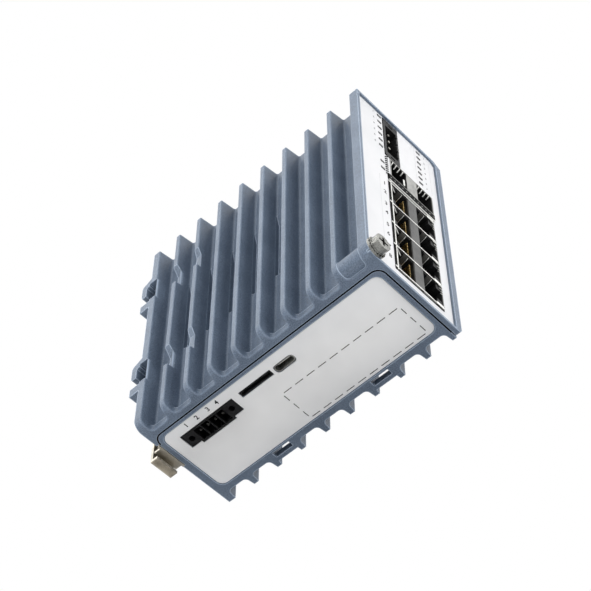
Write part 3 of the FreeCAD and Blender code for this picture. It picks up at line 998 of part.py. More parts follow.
def make_rail_fixing():
    """Model the rail bracket, its screws, the sprung latch and the latch's spring."""
    left = "bracket_x"
    face = "(bracket_y + bracket_thick)"
    middle = "(bracket_x + bracket_wide / 2)"
    back = block("bracket_back", (left, "bracket_y", "bracket_foot_low"),
                 ("bracket_wide", "bracket_thick", "bracket_top - bracket_foot_low"))
    foot = block("bracket_foot", (middle + " - bracket_foot_wide / 2", "bracket_y", "bracket_foot_low"),
                 ("bracket_foot_wide", "bracket_foot", "bracket_thick"))
    tall = "guide_high - guide_low"
    plate_rear = "(%s + slide_gap + latch_thick + slide_gap)" % face
    guides = []
    for i in range(2):
        wall = left if i == 0 else left + " + bracket_wide - guide_wall"
        lip = left if i == 0 else left + " + bracket_wide - guide_lip"
        guides.append(block("guide_wall_%d" % i, (wall, face + " - 0.1", "guide_low"),
                            ("guide_wall", "%s - %s + 0.1 + guide_wall" % (plate_rear, face), tall)))
        guides.append(block("guide_lip_%d" % i, (lip, plate_rear, "guide_low"),
                            ("guide_lip", "guide_wall", tall)))
    rail_top = "(rail_centre_z + rail_height / 2)"
    hook_start = "(rail_seat_y + rail_thick + catch_gap)"
    shelf = block("hook_shelf", (middle + " - catch_wide / 2", face + " - 0.1", rail_top + " + hook_gap"),
                  ("catch_wide", "%s + catch_thick - %s + 0.1" % (hook_start, face), "catch_thick"))
    drop = block("hook_drop", (middle + " - catch_wide / 2", hook_start, rail_top + " + hook_gap - hook_drop"),
                 ("catch_wide", "catch_thick", "hook_drop + 0.1"))
    anchor = block("spring_anchor", (middle + " - anchor_wide / 2", face + " - 0.1", "spring_anchor_z"),
                   ("anchor_wide", "spring_reach + 0.1", "anchor_thick"))
    holes = [rod("bracket_hole_%d" % i, (middle, "bracket_y - 1", z), "small_shank + hole_gap",
                 "bracket_thick + 2", Y_WAY) for i, z in enumerate(BRACKET_SCREWS)]
    holes.append(rod("anchor_hole",
                     (middle + " + spring_radius", face + " + spring_offset", "spring_anchor_z - 1"),
                     "spring_wire", "anchor_thick + 2", Z_WAY))
    node(cut("rail_bracket", fuse("bracket_blank", [back, foot, shelf, drop, anchor] + guides), holes),
         "rail_bracket")
    screws = [screw("bracket_screw_%d" % i, (middle, face, z), -Y_WAY, "small_shank",
                    "bracket_thick + bracket_bite", "small_head", "small_head_high")
              for i, z in enumerate(BRACKET_SCREWS)]
    node(group("bracket_screws", screws), "bracket_screws")
    plate_x = "(bracket_x + guide_wall + slide_gap)"
    plate_wide = "(bracket_wide - 2 * guide_wall - 2 * slide_gap)"
    plate_y = "(%s + slide_gap)" % face
    low_y = "(latch_rear - latch_thick)"
    upper = block("latch_plate", (plate_x, plate_y, "latch_step"),
                  (plate_wide, "latch_thick", "latch_top - latch_step"))
    jog = block("latch_jog", (plate_x, plate_y, "latch_step"),
                (plate_wide, "latch_rear - %s" % plate_y, "latch_thick"))
    lower = block("latch_lower", (plate_x, low_y, "latch_low"),
                  (plate_wide, "latch_thick", "latch_step - latch_low + 0.5"))
    tab = block("latch_tab", (plate_x, "latch_rear - latch_tab", "latch_low"),
                (plate_wide, "latch_tab", "latch_thick"))
    under = "(rail_centre_z - rail_height / 2 - hook_gap)"
    catch = block("latch_catch", (middle + " - catch_wide / 2", plate_y, under + " - catch_thick"),
                  ("catch_wide", "%s + catch_thick - %s" % (hook_start, plate_y), "catch_thick"))
    lip = block("latch_lip", (middle + " - catch_wide / 2", hook_start, under + " - 0.1"),
                ("catch_wide", "catch_thick", "catch_rise + 0.1"))
    top = block("latch_top_tab", (middle + " - anchor_wide / 2", plate_y, "latch_top - anchor_thick"),
                ("anchor_wide", "spring_reach - slide_gap", "anchor_thick"))
    eye = rod("latch_eye",
              (middle + " + spring_radius", face + " + spring_offset", "latch_top - anchor_thick - 1"),
              "spring_wire", "anchor_thick + 2", Z_WAY)
    node(cut("din_latch", fuse("latch_blank", [upper, jog, lower, tab, catch, lip, top]), [eye]), "din_latch")
    coil = doc.addObject("Part::Feature", "spring_coil")
    radius = size("spring_radius")
    wire = size("spring_wire")
    high = size("spring_anchor_z - latch_top") - 2 * wire
    helix = Part.makeHelix(high / SIZES["spring_turns"], high, radius)
    ring = Part.Wire(Part.makeCircle(wire, FreeCAD.Vector(radius, 0, 0), Y_WAY))
    coil.Shape = Part.Wire(helix.Edges).makePipeShell([ring], True, True)
    locate(coil, (middle, face + " + spring_offset", "latch_top + spring_wire"))
    legs = [rod("spring_leg_%d" % i, (middle + " + spring_radius", face + " + spring_offset", z), "spring_wire",
                "anchor_thick + 1.8 * spring_wire", Z_WAY)
            for i, z in enumerate(("latch_top - anchor_thick", "spring_anchor_z - 1.8 * spring_wire"))]
    node(fuse("latch_spring", [coil] + legs), "latch_spring")


make_left_shell()
make_right_shell()
make_seam_gasket()
make_front_label()
make_bottom_label()
make_light_pipes()
make_boards()
make_screws()
make_chips()
make_power_terminal()
make_io_terminal()
make_jacks()
make_optics()
make_service_ports()
make_rail_fixing()
doc.recompute()

faults = [obj.Name for obj in doc.Objects if {"Invalid", "Error"} & set(obj.State)]
for piece in nodes:
    if piece.Shape.isNull() or not piece.Shape.isValid():
        faults.append(piece.Label + " has no valid shape")
if faults:
    raise SystemExit("faulty: " + ", ".join(faults))

os.makedirs("parts", exist_ok=True)
for piece in nodes:
    piece.Shape.exportStep("parts/%s.step" % piece.Label)
    box = piece.Shape.BoundBox
    print("%-18s %3d solids %9.1f mm3  x %7.2f %7.2f  y %7.2f %7.2f  z %7.2f %7.2f" % (
        piece.Label, len(piece.Shape.Solids), piece.Shape.Volume, box.XMin, box.XMax, box.YMin, box.YMax,
        box.ZMin, box.ZMax))
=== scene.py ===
"""Looks of the rail-mounted network switch: finishes, printed marks, fine parts and the studio."""

import logging
import math
from dataclasses import dataclass
from enum import Enum
from typing import ClassVar

import bmesh
import bpy
from mathutils import Matrix, Vector


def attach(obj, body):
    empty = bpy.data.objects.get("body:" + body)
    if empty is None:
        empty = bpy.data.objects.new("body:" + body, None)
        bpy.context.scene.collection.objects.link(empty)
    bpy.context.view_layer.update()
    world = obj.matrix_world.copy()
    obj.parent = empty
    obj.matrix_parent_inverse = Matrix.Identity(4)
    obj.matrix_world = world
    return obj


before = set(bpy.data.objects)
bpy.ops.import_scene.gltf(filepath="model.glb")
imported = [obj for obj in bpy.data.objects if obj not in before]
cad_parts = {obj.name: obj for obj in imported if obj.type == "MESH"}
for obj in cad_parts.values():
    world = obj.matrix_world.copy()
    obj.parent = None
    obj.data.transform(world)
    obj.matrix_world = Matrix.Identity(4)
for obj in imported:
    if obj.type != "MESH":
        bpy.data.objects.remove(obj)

logging.basicConfig(level=logging.INFO, format="%(levelname)s %(message)s")
log = logging.getLogger("switch")

Colour = tuple[float, float, float]
Point = tuple[float, float, float]

HOUSING = "housing"
MM = 0.001
SEAT = Vector((24.75, 119.3, 62.0))
ROWS = 4
ROW_PITCH = 13.97
ROW_LOW = 14.495


def place(x: float, y: float, z: float) -> Vector:
    """Turn a place on the housing into the model's frame.

    Args:
        x: millimetres to the right of the left fins' tips.
        y: millimetres behind the front rim.
        z: millimetres above the underside.

    Returns:
        The same place in metres from the rail seat.
    """
    return (Vector((x, y, z)) - SEAT) * MM


def linear(red: int, green: int, blue: int) -> Colour:
    """Turn a display colour of 0 to 255 a channel into scene-linear values.

    Args:
        red: its red.
        green: its green.
        blue: its blue.

    Returns:
        The scene-linear colour.
    """
    def channel(value: int) -> float:
        """Undo the display curve of one channel."""
        share = value / 255
        return share / 12.92 if share <= 0.04045 else ((share + 0.055) / 1.055) ** 2.4

    return channel(red), channel(green), channel(blue)


class Way(Enum):
    """The labels that carry printed marks, by the record's slot of each."""

    FRONT = "front_sheet"
    UNDER = "bottom_sheet"


def feed(tree: bpy.types.NodeTree, socket: bpy.types.NodeSocket, value: object) -> None:
    """Set a node's input to a constant, or join it to an output.

    Args:
        tree: the tree that holds the node.
        socket: the input.
        value: the constant or the output.
    """
    if isinstance(value, bpy.types.NodeSocket):
        tree.links.new(value, socket)
    else:
        socket.default_value = value


def add_node(tree: bpy.types.NodeTree, kind: str, sockets: dict | None = None,
             **settings: object) -> bpy.types.Node:
    """Add a node to a tree.

    Args:
        tree: the tree.
        kind: the node's type.
        sockets: values or outputs for the node's inputs, by name or number.
        settings: the node's own settings.

    Returns:
        The new node.
    """
    node = tree.nodes.new(kind)
    for word, value in settings.items():
        setattr(node, word, value)
    for word, value in (sockets or {}).items():
        feed(tree, node.inputs[word], value)
    return node


class Recipe:
    """A material under construction, with short names for its nodes."""

    usual_low: ClassVar[float] = 0.3
    usual_high: ClassVar[float] = 0.7
    flat_cosine: ClassVar[float] = 0.998

    def __init__(self, name: str) -> None:
        """Start a material whose surface is one principled shader.

        Args:
            name: the material's name.
        """
        self.material = bpy.data.materials.new(name)
        self.material.use_nodes = True
        self.tree = self.material.node_tree
        self.shader = self.tree.nodes["Principled BSDF"]
        self.coords = self.add("TexCoord").outputs["Object"]

    def add(self, kind: str, sockets: dict | None = None, **settings: object) -> bpy.types.Node:
        """Add a shader node, whose kind is given without its ShaderNode prefix."""
        return add_node(self.tree, "ShaderNode" + kind, sockets, **settings)

    def noise(self, size: float, detail: float = 2.0, rough: float = 0.5,
              stretch: Point | None = None) -> bpy.types.NodeSocket:
        """Add noise whose grains are about size metres across.

        Args:
            size: the grain's width in metres.
            detail: the number of finer layers.
            rough: how strong the finer layers are.
            stretch: factors that squeeze the pattern along each axis.

        Returns:
            The noise's value, around one half.
        """
        where = self.coords
        if stretch:
            where = self.add("Mapping", {"Vector": self.coords, "Scale": stretch}).outputs[0]
        return self.add("TexNoise", {"Vector": where, "Scale": 1 / size, "Detail": detail,
                                     "Roughness": rough}).outputs["Fac"]

    def clouded(self, fine: bpy.types.NodeSocket, size: float, swing: float) -> bpy.types.NodeSocket:
        """Raise and lower a value in clouds.

        Args:
            fine: the value.
            size: the clouds' width in metres.
            swing: how far the value goes up and down.

        Returns:
            The changed value.
        """
        cloud = self.span(self.noise(size), -swing, swing)
        return self.add("Math", {0: fine, 1: cloud}, operation="ADD").outputs[0]

    def blend(self, share: bpy.types.NodeSocket, low: Colour, high: Colour,
              start: float = 0.35, end: float = 0.65) -> bpy.types.NodeSocket:
        """Blend two colours by a value.

        Args:
            share: the value.
            low: the colour where the value is at or under start.
            high: the colour where the value is at or over end.
            start: the value where the blend starts.
            end: the value where the blend ends.

        Returns:
            The blended colour.
        """
        ramp = self.add("ValToRGB", {"Fac": share})
        for element, where, colour in zip(ramp.color_ramp.elements, (start, end), (low, high)):
            element.position = where
            element.color = (*colour, 1)
        return ramp.outputs["Color"]

    def span(self, share: bpy.types.NodeSocket, low: float, high: float) -> bpy.types.NodeSocket:
        """Stretch the usual part of a noise's values to a range.

        Args:
            share: the noise.
            low: the range's lower end.
            high: its upper end.

        Returns:
            The stretched value.
        """
        return self.add("MapRange", {"Value": share, "From Min": self.usual_low,
                                     "From Max": self.usual_high, "To Min": low,
                                     "To Max": high}).outputs["Result"]

    def bump(self, height: bpy.types.NodeSocket, depth: float, strength: float = 1.0,
             after: bpy.types.NodeSocket | None = None) -> bpy.types.NodeSocket:
        """Add a bump of a given depth in metres, on top of another if there is one.

        Args:
            height: the bump's pattern.
            depth: its depth.
            strength: how strongly it shows.
            after: the normal that it builds on.

        Returns:
            The new normal.
        """
        sockets = {"Height": height, "Distance": depth, "Strength": strength}
        if after:
            sockets["Normal"] = after
        return self.add("Bump", sockets).outputs["Normal"]

    def rounding(self, radius: float, samples: int = 4) -> bpy.types.NodeSocket:
        """Return a normal that rounds the sharp edges."""
        return self.add("Bevel", {"Radius": radius}, samples=samples).outputs["Normal"]

    def edges(self, radius: float, sharp: float) -> bpy.types.NodeSocket:
        """Return a mask that is one along the edges and nought on the flats.

        Args:
            radius: how far from an edge the mask reaches, in metres.
            sharp: the cosine of the turn that counts as a full edge.

        Returns:
            The mask.
        """
        turned = self.rounding(radius, samples=6)
        flat = self.add("NewGeometry").outputs["Normal"]
        same = self.add("VectorMath", {0: turned, 1: flat}, operation="DOT_PRODUCT").outputs["Value"]
        return self.add("MapRange", {"Value": same, "From Min": self.flat_cosine,
                                     "From Max": sharp}).outputs["Result"]

    def mix(self, share: bpy.types.NodeSocket, low: object, high: object) -> bpy.types.NodeSocket:
        """Mix two colours by a value of nought to one.

        Args:
            share: the value.
            low: the colour at nought.
            high: the colour at one.

        Returns:
            The mixed colour.
        """
        made = self.add("Mix", {"Factor": share}, data_type="RGBA")
        for number, value in ((6, low), (7, high)):
            feed(self.tree, made.inputs[number], (*value, 1) if isinstance(value, tuple) else value)
        return made.outputs[2]

    def finish(self, **inputs: object) -> bpy.types.Material:
        """Join the shader's inputs.

        Args:
            inputs: the value of each input, with _ for a space in its name.

        Returns:
            The finished material.
        """
        for word, value in inputs.items():
            socket = self.shader.inputs[word.replace("_", " ")]
            if isinstance(value, tuple) and len(value) == 3:
                value = (*value, 1)
            feed(self.tree, socket, value)
        return self.material


@dataclass(frozen=True)
class PowderCoat:
    """Fine textured powder coat on the castings; lengths are in metres."""

    name: str = "powder_coat"
    dark: Colour = linear(83, 96, 113)
    light: Colour = linear(113, 127, 145)
    # painted highlight: the lighter colour laid along convex and concave edges, for light caught by their
    # rounding
    edge_highlight: Colour = linear(172, 187, 206)
    speckle: float = 0.0005
    clouds: float = 0.012
    peel: float = 0.0006
    peel_depth: float = 0.00008
    corner: float = 0.0004
    highlight_reach: float = 0.0006
    highlight_cosine: float = 0.93

    def make(self) -> bpy.types.Material:
        """Build the coat: fine speckle, cloudy changes, an orange-peel bump and a painted highlight along
        the edges.

        Returns:
            The coat.
        """
        recipe = Recipe(self.name)
        fine = recipe.noise(self.speckle, detail=3.0, rough=0.75)
        share = recipe.clouded(fine, self.clouds, swing=0.06)
        peel = recipe.noise(self.peel, detail=3.0, rough=0.7)
        coat = recipe.blend(share, self.dark, self.light, start=0.38, end=0.64)
        # painted highlight: a mask along the edges mixes the lighter colour into the coat
        edge = recipe.edges(self.highlight_reach, self.highlight_cosine)
        return recipe.finish(Base_Color=recipe.mix(edge, coat, self.edge_highlight),
                             Roughness=recipe.span(fine, 0.36, 0.52), Specular_IOR_Level=0.42,
                             Normal=recipe.bump(peel, self.peel_depth, 0.9, recipe.rounding(self.corner)))


@dataclass(frozen=True)
class PrintedSheet:
    """A printed label sheet with a slight satin grain; lengths are in metres."""

    name: str
    colour: Colour
    shade: Colour
    grain: float = 0.0004
    clouds: float = 0.02
    depth: float = 0.000008

    def make(self) -> bpy.types.Material:
        """Build the sheet.

        Returns:
            The sheet's material.
        """
        recipe = Recipe(self.name)
        grain = recipe.noise(self.grain)
        cloud = recipe.noise(self.clouds)
        return recipe.finish(Base_Color=recipe.blend(cloud, self.shade, self.colour, start=0.3, end=0.6),
                             Roughness=recipe.span(grain, 0.42, 0.56),
                             Normal=recipe.bump(grain, self.depth, strength=0.6))


@dataclass(frozen=True)
class Moulding:
    """Moulded plastic or rubber with a fine spark-eroded grain; lengths are in metres."""

    name: str
    colour: Colour
    light: Colour
    rough: float = 0.5
    shine: float = 0.5
    grain: float = 0.00025
    flow: float = 0.006
    depth: float = 0.000012
    corner: float = 0.00012

    def make(self) -> bpy.types.Material:
        """Build the plastic.

        Returns:
            The plastic.
        """
        recipe = Recipe(self.name)
        fine = recipe.noise(self.grain)
        flow = recipe.noise(self.flow)
        return recipe.finish(Base_Color=recipe.blend(flow, self.colour, self.light),
                             Roughness=recipe.span(fine, self.rough - 0.08, self.rough + 0.1),
                             Normal=recipe.bump(fine, self.depth, 0.7, recipe.rounding(self.corner)),
                             Specular_IOR_Level=self.shine)


@dataclass(frozen=True)
class PlatedSheet:
    """Plated metal with rolling marks along one axis; lengths are in metres."""

    name: str
    dark: Colour
    light: Colour
    rough: float = 0.3
    stretch: Point = (1, 1, 0.08)
    marks: float = 0.0002
    clouds: float = 0.004
    depth: float = 0.000006
    corner: float = 0.00012

    def make(self) -> bpy.types.Material:
        """Build the metal.

        Returns:
            The metal.
        """
        recipe = Recipe(self.name)
        marks = recipe.noise(self.marks, detail=3.0, rough=0.6, stretch=self.stretch)
        share = recipe.clouded(marks, self.clouds, swing=0.15)
        return recipe.finish(Base_Color=recipe.blend(share, self.dark, self.light), Metallic=1.0,
                             Roughness=recipe.span(marks, self.rough - 0.06, self.rough + 0.12),
                             Normal=recipe.bump(marks, self.depth, 0.5, recipe.rounding(self.corner)))


@dataclass(frozen=True)
class BoardResin:
    """Solder mask over copper tracks; lengths are in metres."""

    name: str = "board_resin"
    dark: Colour = linear(18, 70, 40)
    light: Colour = linear(34, 104, 60)
    cell: float = 0.0025
    depth: float = 0.00002

    def make(self) -> bpy.types.Material:
        """Build the mask, with square-cornered tracks under it.

        Returns:
            The board's material.
        """
        recipe = Recipe(self.name)
        tracks = recipe.add("TexVoronoi", {"Vector": recipe.coords, "Scale": 1 / self.cell},
                            distance="MANHATTAN").outputs["Distance"]
        return recipe.finish(Base_Color=recipe.blend(tracks, self.dark, self.light, start=0.3, end=0.5),
                             Roughness=0.35, Normal=recipe.bump(tracks, self.depth, strength=0.5))


@dataclass(frozen=True)
class LightPipe:
    """Glossy light pipe that looks dark while its lamp is off; lengths are in metres."""

    name: str = "milky_lens"
    colour: Colour = linear(14, 15, 17)
    light: Colour = linear(26, 28, 30)
    flow: float = 0.0008

    def make(self) -> bpy.types.Material:
        """Build the light pipe.

        Returns:
            The light pipe's material.
        """
        recipe = Recipe(self.name)
        flow = recipe.noise(self.flow)
        return recipe.finish(Base_Color=recipe.blend(flow, self.colour, self.light),
                             Roughness=recipe.span(flow, 0.12, 0.22), Coat_Weight=0.4)


class Finishes:
    """Every finish of the object, made once."""

    def __init__(self) -> None:
        """Build the materials."""
        self.coat = PowderCoat().make()
        self.front_sheet = PrintedSheet("front_sheet", linear(220, 220, 222), linear(213, 214, 216)).make()
        self.base_sheet = PrintedSheet("base_sheet", linear(240, 240, 240), linear(232, 232, 232)).make()
        self.black = Moulding("black_plastic", linear(22, 22, 23), linear(30, 30, 31), 0.45, 0.2).make()
        self.seal = Moulding("seal_rubber", linear(8, 8, 10), linear(14, 14, 16), 0.75, 0.12).make()
        self.pad = Moulding("thermal_pad", linear(120, 132, 150), linear(138, 148, 164), 0.8).make()
        self.chip = Moulding("chip_resin", linear(30, 30, 32), linear(40, 40, 42), 0.55).make()
        self.tape = Moulding("core_tape", linear(190, 160, 60), linear(205, 176, 80), 0.4).make()
        self.relay = Moulding("relay_case", linear(220, 220, 214), linear(232, 232, 228), 0.4).make()
        self.can = PlatedSheet("capacitor_can", linear(70, 80, 110), linear(90, 100, 130), 0.4).make()
        self.board = BoardResin().make()
        self.lens = LightPipe().make()
        self.ink = Moulding("mark_ink", linear(24, 24, 26), linear(34, 34, 36), 0.6, 0.1).make()
        self.pale_ink = Moulding("pale_ink", linear(70, 70, 73), linear(86, 86, 89), 0.6, 0.1).make()
        self.faint_ink = Moulding("faint_ink", linear(176, 177, 180), linear(190, 191, 194), 0.5).make()
        self.bright = PlatedSheet("bright_sheet", linear(206, 206, 202), linear(238, 238, 234), 0.3).make()
        self.dull_tin = PlatedSheet("dull_tin", linear(58, 57, 55), linear(84, 83, 80), 0.4).make()
        self.shield = PlatedSheet("shield_steel", linear(60, 60, 60), linear(86, 86, 85), 0.32).make()
        self.cage = PlatedSheet("cage_steel", linear(134, 134, 132), linear(172, 172, 168), 0.34).make()
        self.clip = PlatedSheet("clip_steel", linear(172, 166, 154), linear(212, 206, 194), 0.36).make()
        self.zinc = PlatedSheet("screw_zinc", linear(150, 150, 150), linear(184, 184, 180), 0.28,
                                (1, 1, 1)).make()
        self.nickel = PlatedSheet("nickel_plate", linear(118, 118, 115), linear(160, 160, 155), 0.2,
                                  (1, 0.2, 1)).make()
        self.gold = PlatedSheet("gold_plate", linear(214, 178, 110), linear(240, 208, 144), 0.25).make()
        self.tin = PlatedSheet("pin_tin", linear(170, 166, 156), linear(205, 202, 194), 0.25).make()
        self.wire = PlatedSheet("spring_wire", linear(120, 120, 122), linear(160, 160, 160), 0.3).make()


class Shape:
    """Small solids, drawn in millimetres on the housing and kept as a bmesh in metres."""

    def __init__(self) -> None:
        """Start with nothing."""
        self.mesh = bmesh.new()

    def box(self, low: Point, high: Point, bevel: float = 0.0) -> "Shape":
        """Add a block between two corners, with its edges bevelled.

        Args:
            low: the lower corner.
            high: the upper corner.
            bevel: the bevel's width, nought for none.

        Returns:
            The shape itself.
        """
        made = bmesh.ops.create_cube(self.mesh, size=1.0)["verts"]
        middle = (place(*low) + place(*high)) / 2
        sides = (Vector(high) - Vector(low)) * MM
        for vertex in made:
            vertex.co = Vector(a * b for a, b in zip(vertex.co, sides)) + middle
        if bevel:
            edges = list({edge for vertex in made for edge in vertex.link_edges})
            bmesh.ops.bevel(self.mesh, geom=edges, offset=bevel * MM, segments=2, affect="EDGES",
                            profile=0.5)
        return self

    def sheet(self, path: list[Point], across: Point, thick: Point) -> "Shape":
        """Add a bent strip of sheet that follows a path.

        Args:
            path: the corners of one edge of the strip.
            across: the way and the distance from that edge to the other.
            thick: the way and the distance through the sheet.

        Returns:
            The shape itself.
        """
        side = Vector(across) * MM
        deep = Vector(thick) * MM
        rows = []
        for start in (place(*corner) for corner in path):
            ring = (start, start + side, start + side + deep, start + deep)
            rows.append([self.mesh.verts.new(point) for point in ring])
        return self.strip(rows)

    def ribbon(self, path: list[tuple[float, float]], wide: float, low: float, high: float) -> "Shape":
        """Add a bead that follows a path over the underside.

        Args:
            path: the corners of its middle line, in x and y.
            wide: its width.
            low: the height of its lower face.
            high: the height of its upper face.

        Returns:
            The shape itself.
        """
        rows = []
        for k, (x, y) in enumerate(path):
            before, after = path[max(k - 1, 0)], path[min(k + 1, len(path) - 1)]
            along = Vector((after[0] - before[0], after[1] - before[1], 0)).normalized()
            side = Vector((along.y, -along.x, 0)) * wide / 2
            rows.append([self.mesh.verts.new(place(x + way * side.x, y + way * side.y, z))
                         for way, z in ((-1, low), (1, low), (1, high), (-1, high))])
        return self.strip(rows)

    def strip(self, rows: list[list[bmesh.types.BMVert]]) -> "Shape":
        """Join rows of four corners into a closed strip.

        Args:
            rows: the corners, row by row.

        Returns:
            The shape, so that calls can follow each other.
        """
        for a, b in zip(rows, rows[1:]):
            for k in range(4):
                self.mesh.faces.new((a[k], a[(k + 1) % 4], b[(k + 1) % 4], b[k]))
        self.mesh.faces.new(rows[0])
        self.mesh.faces.new(rows[-1][::-1])
        return self


@dataclass(frozen=True)
class Run:
    """A repeat of a piece along one direction: how many, and the step in millimetres."""

    count: int = 1
    step: Point = (0, 0, 0)


class Repeater:
    """Copies a piece with Geometry Nodes; each kind of repeat grows its own tree, once."""

    name: ClassVar[str]
    sockets: ClassVar[dict[str, str]]
    tree: ClassVar[bpy.types.NodeTree | None] = None

    @classmethod
    def copies(cls, source: bpy.types.Node) -> bpy.types.NodeSocket:
        """Add the nodes that copy the source's geometry, and return the copies."""
        raise NotImplementedError

    @classmethod
    def grow(cls) -> None:
        """Build the node tree: copy, join the copies and give them their material."""
        cls.tree = bpy.data.node_groups.new(cls.name, "GeometryNodeTree")
        face = cls.tree.interface
        for word, kind in {"Geometry": "Geometry", **cls.sockets, "Material": "Material"}.items():
            face.new_socket(word, in_out="INPUT", socket_type="NodeSocket" + kind)
        face.new_socket("Geometry", in_out="OUTPUT", socket_type="NodeSocketGeometry")
        source = add_node(cls.tree, "NodeGroupInput")
        whole = add_node(cls.tree, "GeometryNodeRealizeInstances", {"Geometry": cls.copies(source)})
        paint = add_node(cls.tree, "GeometryNodeSetMaterial", {"Geometry": whole.outputs["Geometry"],
                                                               "Material": source.outputs["Material"]})
        add_node(cls.tree, "NodeGroupOutput", {"Geometry": paint.outputs["Geometry"]})

    @classmethod
    def run(cls, piece: bpy.types.Object, values: dict[str, object]) -> None:
        """Run the node tree on an object and keep the result as its mesh.

        Args:
            piece: the object, whose mesh is the piece to copy.
            values: the tree's inputs by name.
        """
        if cls.tree is None:
            cls.grow()
        modifier = piece.modifiers.new("repeat", "NODES")
        modifier.node_group = cls.tree
        for item in cls.tree.interface.items_tree:
            if item.in_out == "INPUT" and item.name in values:
                modifier[item.identifier] = values[item.name]
        graph = bpy.context.evaluated_depsgraph_get()
        whole = bpy.data.meshes.new_from_object(piece.evaluated_get(graph))
        piece.modifiers.clear()
        single = piece.data
        piece.data = whole
        bpy.data.meshes.remove(single)


class GridRepeater(Repeater):
    """Copies a piece over a grid: two lines of points, each carrying copies of what came before."""

    name = "repeat_grid"
    words = ("First", "Second")
    sockets = {"First Count": "Int", "First Step": "Vector", "Second Count": "Int", "Second Step": "Vector"}

    @classmethod
    def copies(cls, source: bpy.types.Node) -> bpy.types.NodeSocket:
        """Add the nodes that copy the source's geometry.

        Args:
            source: the node that gives the geometry and each run's values.

        Returns:
            The copies.
        """
        carried = source.outputs["Geometry"]
        for word in cls.words:
            line = add_node(cls.tree, "GeometryNodeMeshLine", {
                "Count": source.outputs[word + " Count"], "Offset": source.outputs[word + " Step"]},
                mode="OFFSET")
            copies = add_node(cls.tree, "GeometryNodeInstanceOnPoints", {
                "Points": line.outputs["Mesh"], "Instance": carried})
            carried = copies.outputs["Instances"]
        return carried

    @classmethod
    def repeat(cls, piece: bpy.types.Object, material: bpy.types.Material, runs: tuple[Run, ...]) -> None:
        """Copy an object's mesh along one run, and along a second if there is one.

        Args:
            piece: the object.
            material: its finish.
            runs: one or two repeats.
        """
        values = {"Material": material}
        for word, run in zip(cls.words, (*runs, Run())):
            values[word + " Count"] = run.count
            values[word + " Step"] = tuple(MM * part for part in run.step)
        cls.run(piece, values)


class RingRepeater(Repeater):
    """Copies a piece around the housing's front-to-back axis, turned about it by its number."""

    name = "repeat_ring"
    sockets = {"Count": "Int", "Centre": "Vector"}

    @classmethod
    def copies(cls, source: bpy.types.Node) -> bpy.types.NodeSocket:
        """Add the nodes that copy the source's geometry.

        Args:
            source: the node that gives the geometry, the count and the centre.

        Returns:
            The copies.
        """
        tree, count = cls.tree, source.outputs["Count"]
        points = add_node(tree, "GeometryNodeMeshLine", {"Count": count, "Offset": (0, 0, 0)},
                          mode="OFFSET")
        number = add_node(tree, "GeometryNodeInputIndex").outputs[0]
        step = add_node(tree, "ShaderNodeMath", {0: math.tau, 1: count}, operation="DIVIDE").outputs[0]
        turn = add_node(tree, "ShaderNodeMath", {0: number, 1: step}, operation="MULTIPLY").outputs[0]
        angles = add_node(tree, "ShaderNodeCombineXYZ", {"Y": turn}).outputs[0]
        copies = add_node(tree, "GeometryNodeInstanceOnPoints", {
            "Points": points.outputs["Mesh"], "Instance": source.outputs["Geometry"], "Rotation": angles})
        moved = add_node(tree, "GeometryNodeTransform", {
            "Geometry": copies.outputs["Instances"], "Translation": source.outputs["Centre"]})
        return moved.outputs["Geometry"]

    @classmethod
    def repeat(cls, piece: bpy.types.Object, material: bpy.types.Material, count: int,
               centre: Point) -> None:
        """Copy an object's mesh, drawn about its own origin, around a place on the housing."""
        cls.run(piece, {"Count": count, "Centre": tuple(place(*centre)), "Material": material})


class Maker:
    """Turns shapes into pieces that ride on the housing."""

    @staticmethod
    def start(name: str, shape: Shape) -> bpy.types.Object:
        """Turn a shape into an object of the scene.

        Args:
            name: the piece's name.
            shape: its shape.

        Returns:
            The new object.
        """
        data = bpy.data.meshes.new(name)
        bmesh.ops.recalc_face_normals(shape.mesh, faces=shape.mesh.faces)
        shape.mesh.to_mesh(data)
        shape.mesh.free()
        piece = bpy.data.objects.new(name, data)
        bpy.context.scene.collection.objects.link(piece)
        return piece

    @staticmethod
    def end(piece: bpy.types.Object, slot: str) -> None:
        """Let a piece ride on the housing, and log how many faces it has.

        Args:
            piece: the object.
            slot: not used.
        """
        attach(piece, HOUSING)
        log.info("made %s with %d faces", piece.name, len(piece.data.polygons))

    @classmethod
    def make(cls, name: str, shape: Shape, material: bpy.types.Material, slot: str, *runs: Run) -> None:
        """Make a piece of a shape, repeated where runs are given.

        Args:
            name: the piece's name.
            shape: the shape, at its first place.
            material: its finish.
            slot: the name of a record's slot, handed on to end.
            runs: none, one or two repeats; the second repeats the first as a whole.
        """
        piece = cls.start(name, shape)
        if runs:
            GridRepeater.repeat(piece, material, runs)
        else:
            piece.data.materials.append(material)
        cls.end(piece, slot)

    @classmethod
    def ring(cls, name: str, shape: Shape, material: bpy.types.Material, slot: str, count: int,
             centre: Point) -> None:
        """Make a piece of copies of a shape around a place on the housing.

        Args:
            name: the piece's name.
            shape: the shape, drawn about the origin.
            material: its finish.
            slot: the name of a record's slot, handed on to end.
            count: the number of copies.
            centre: the ring's middle on the housing, in millimetres.
        """
        piece = cls.start(name, shape)
        RingRepeater.repeat(piece, material, count, centre)
        cls.end(piece, slot)


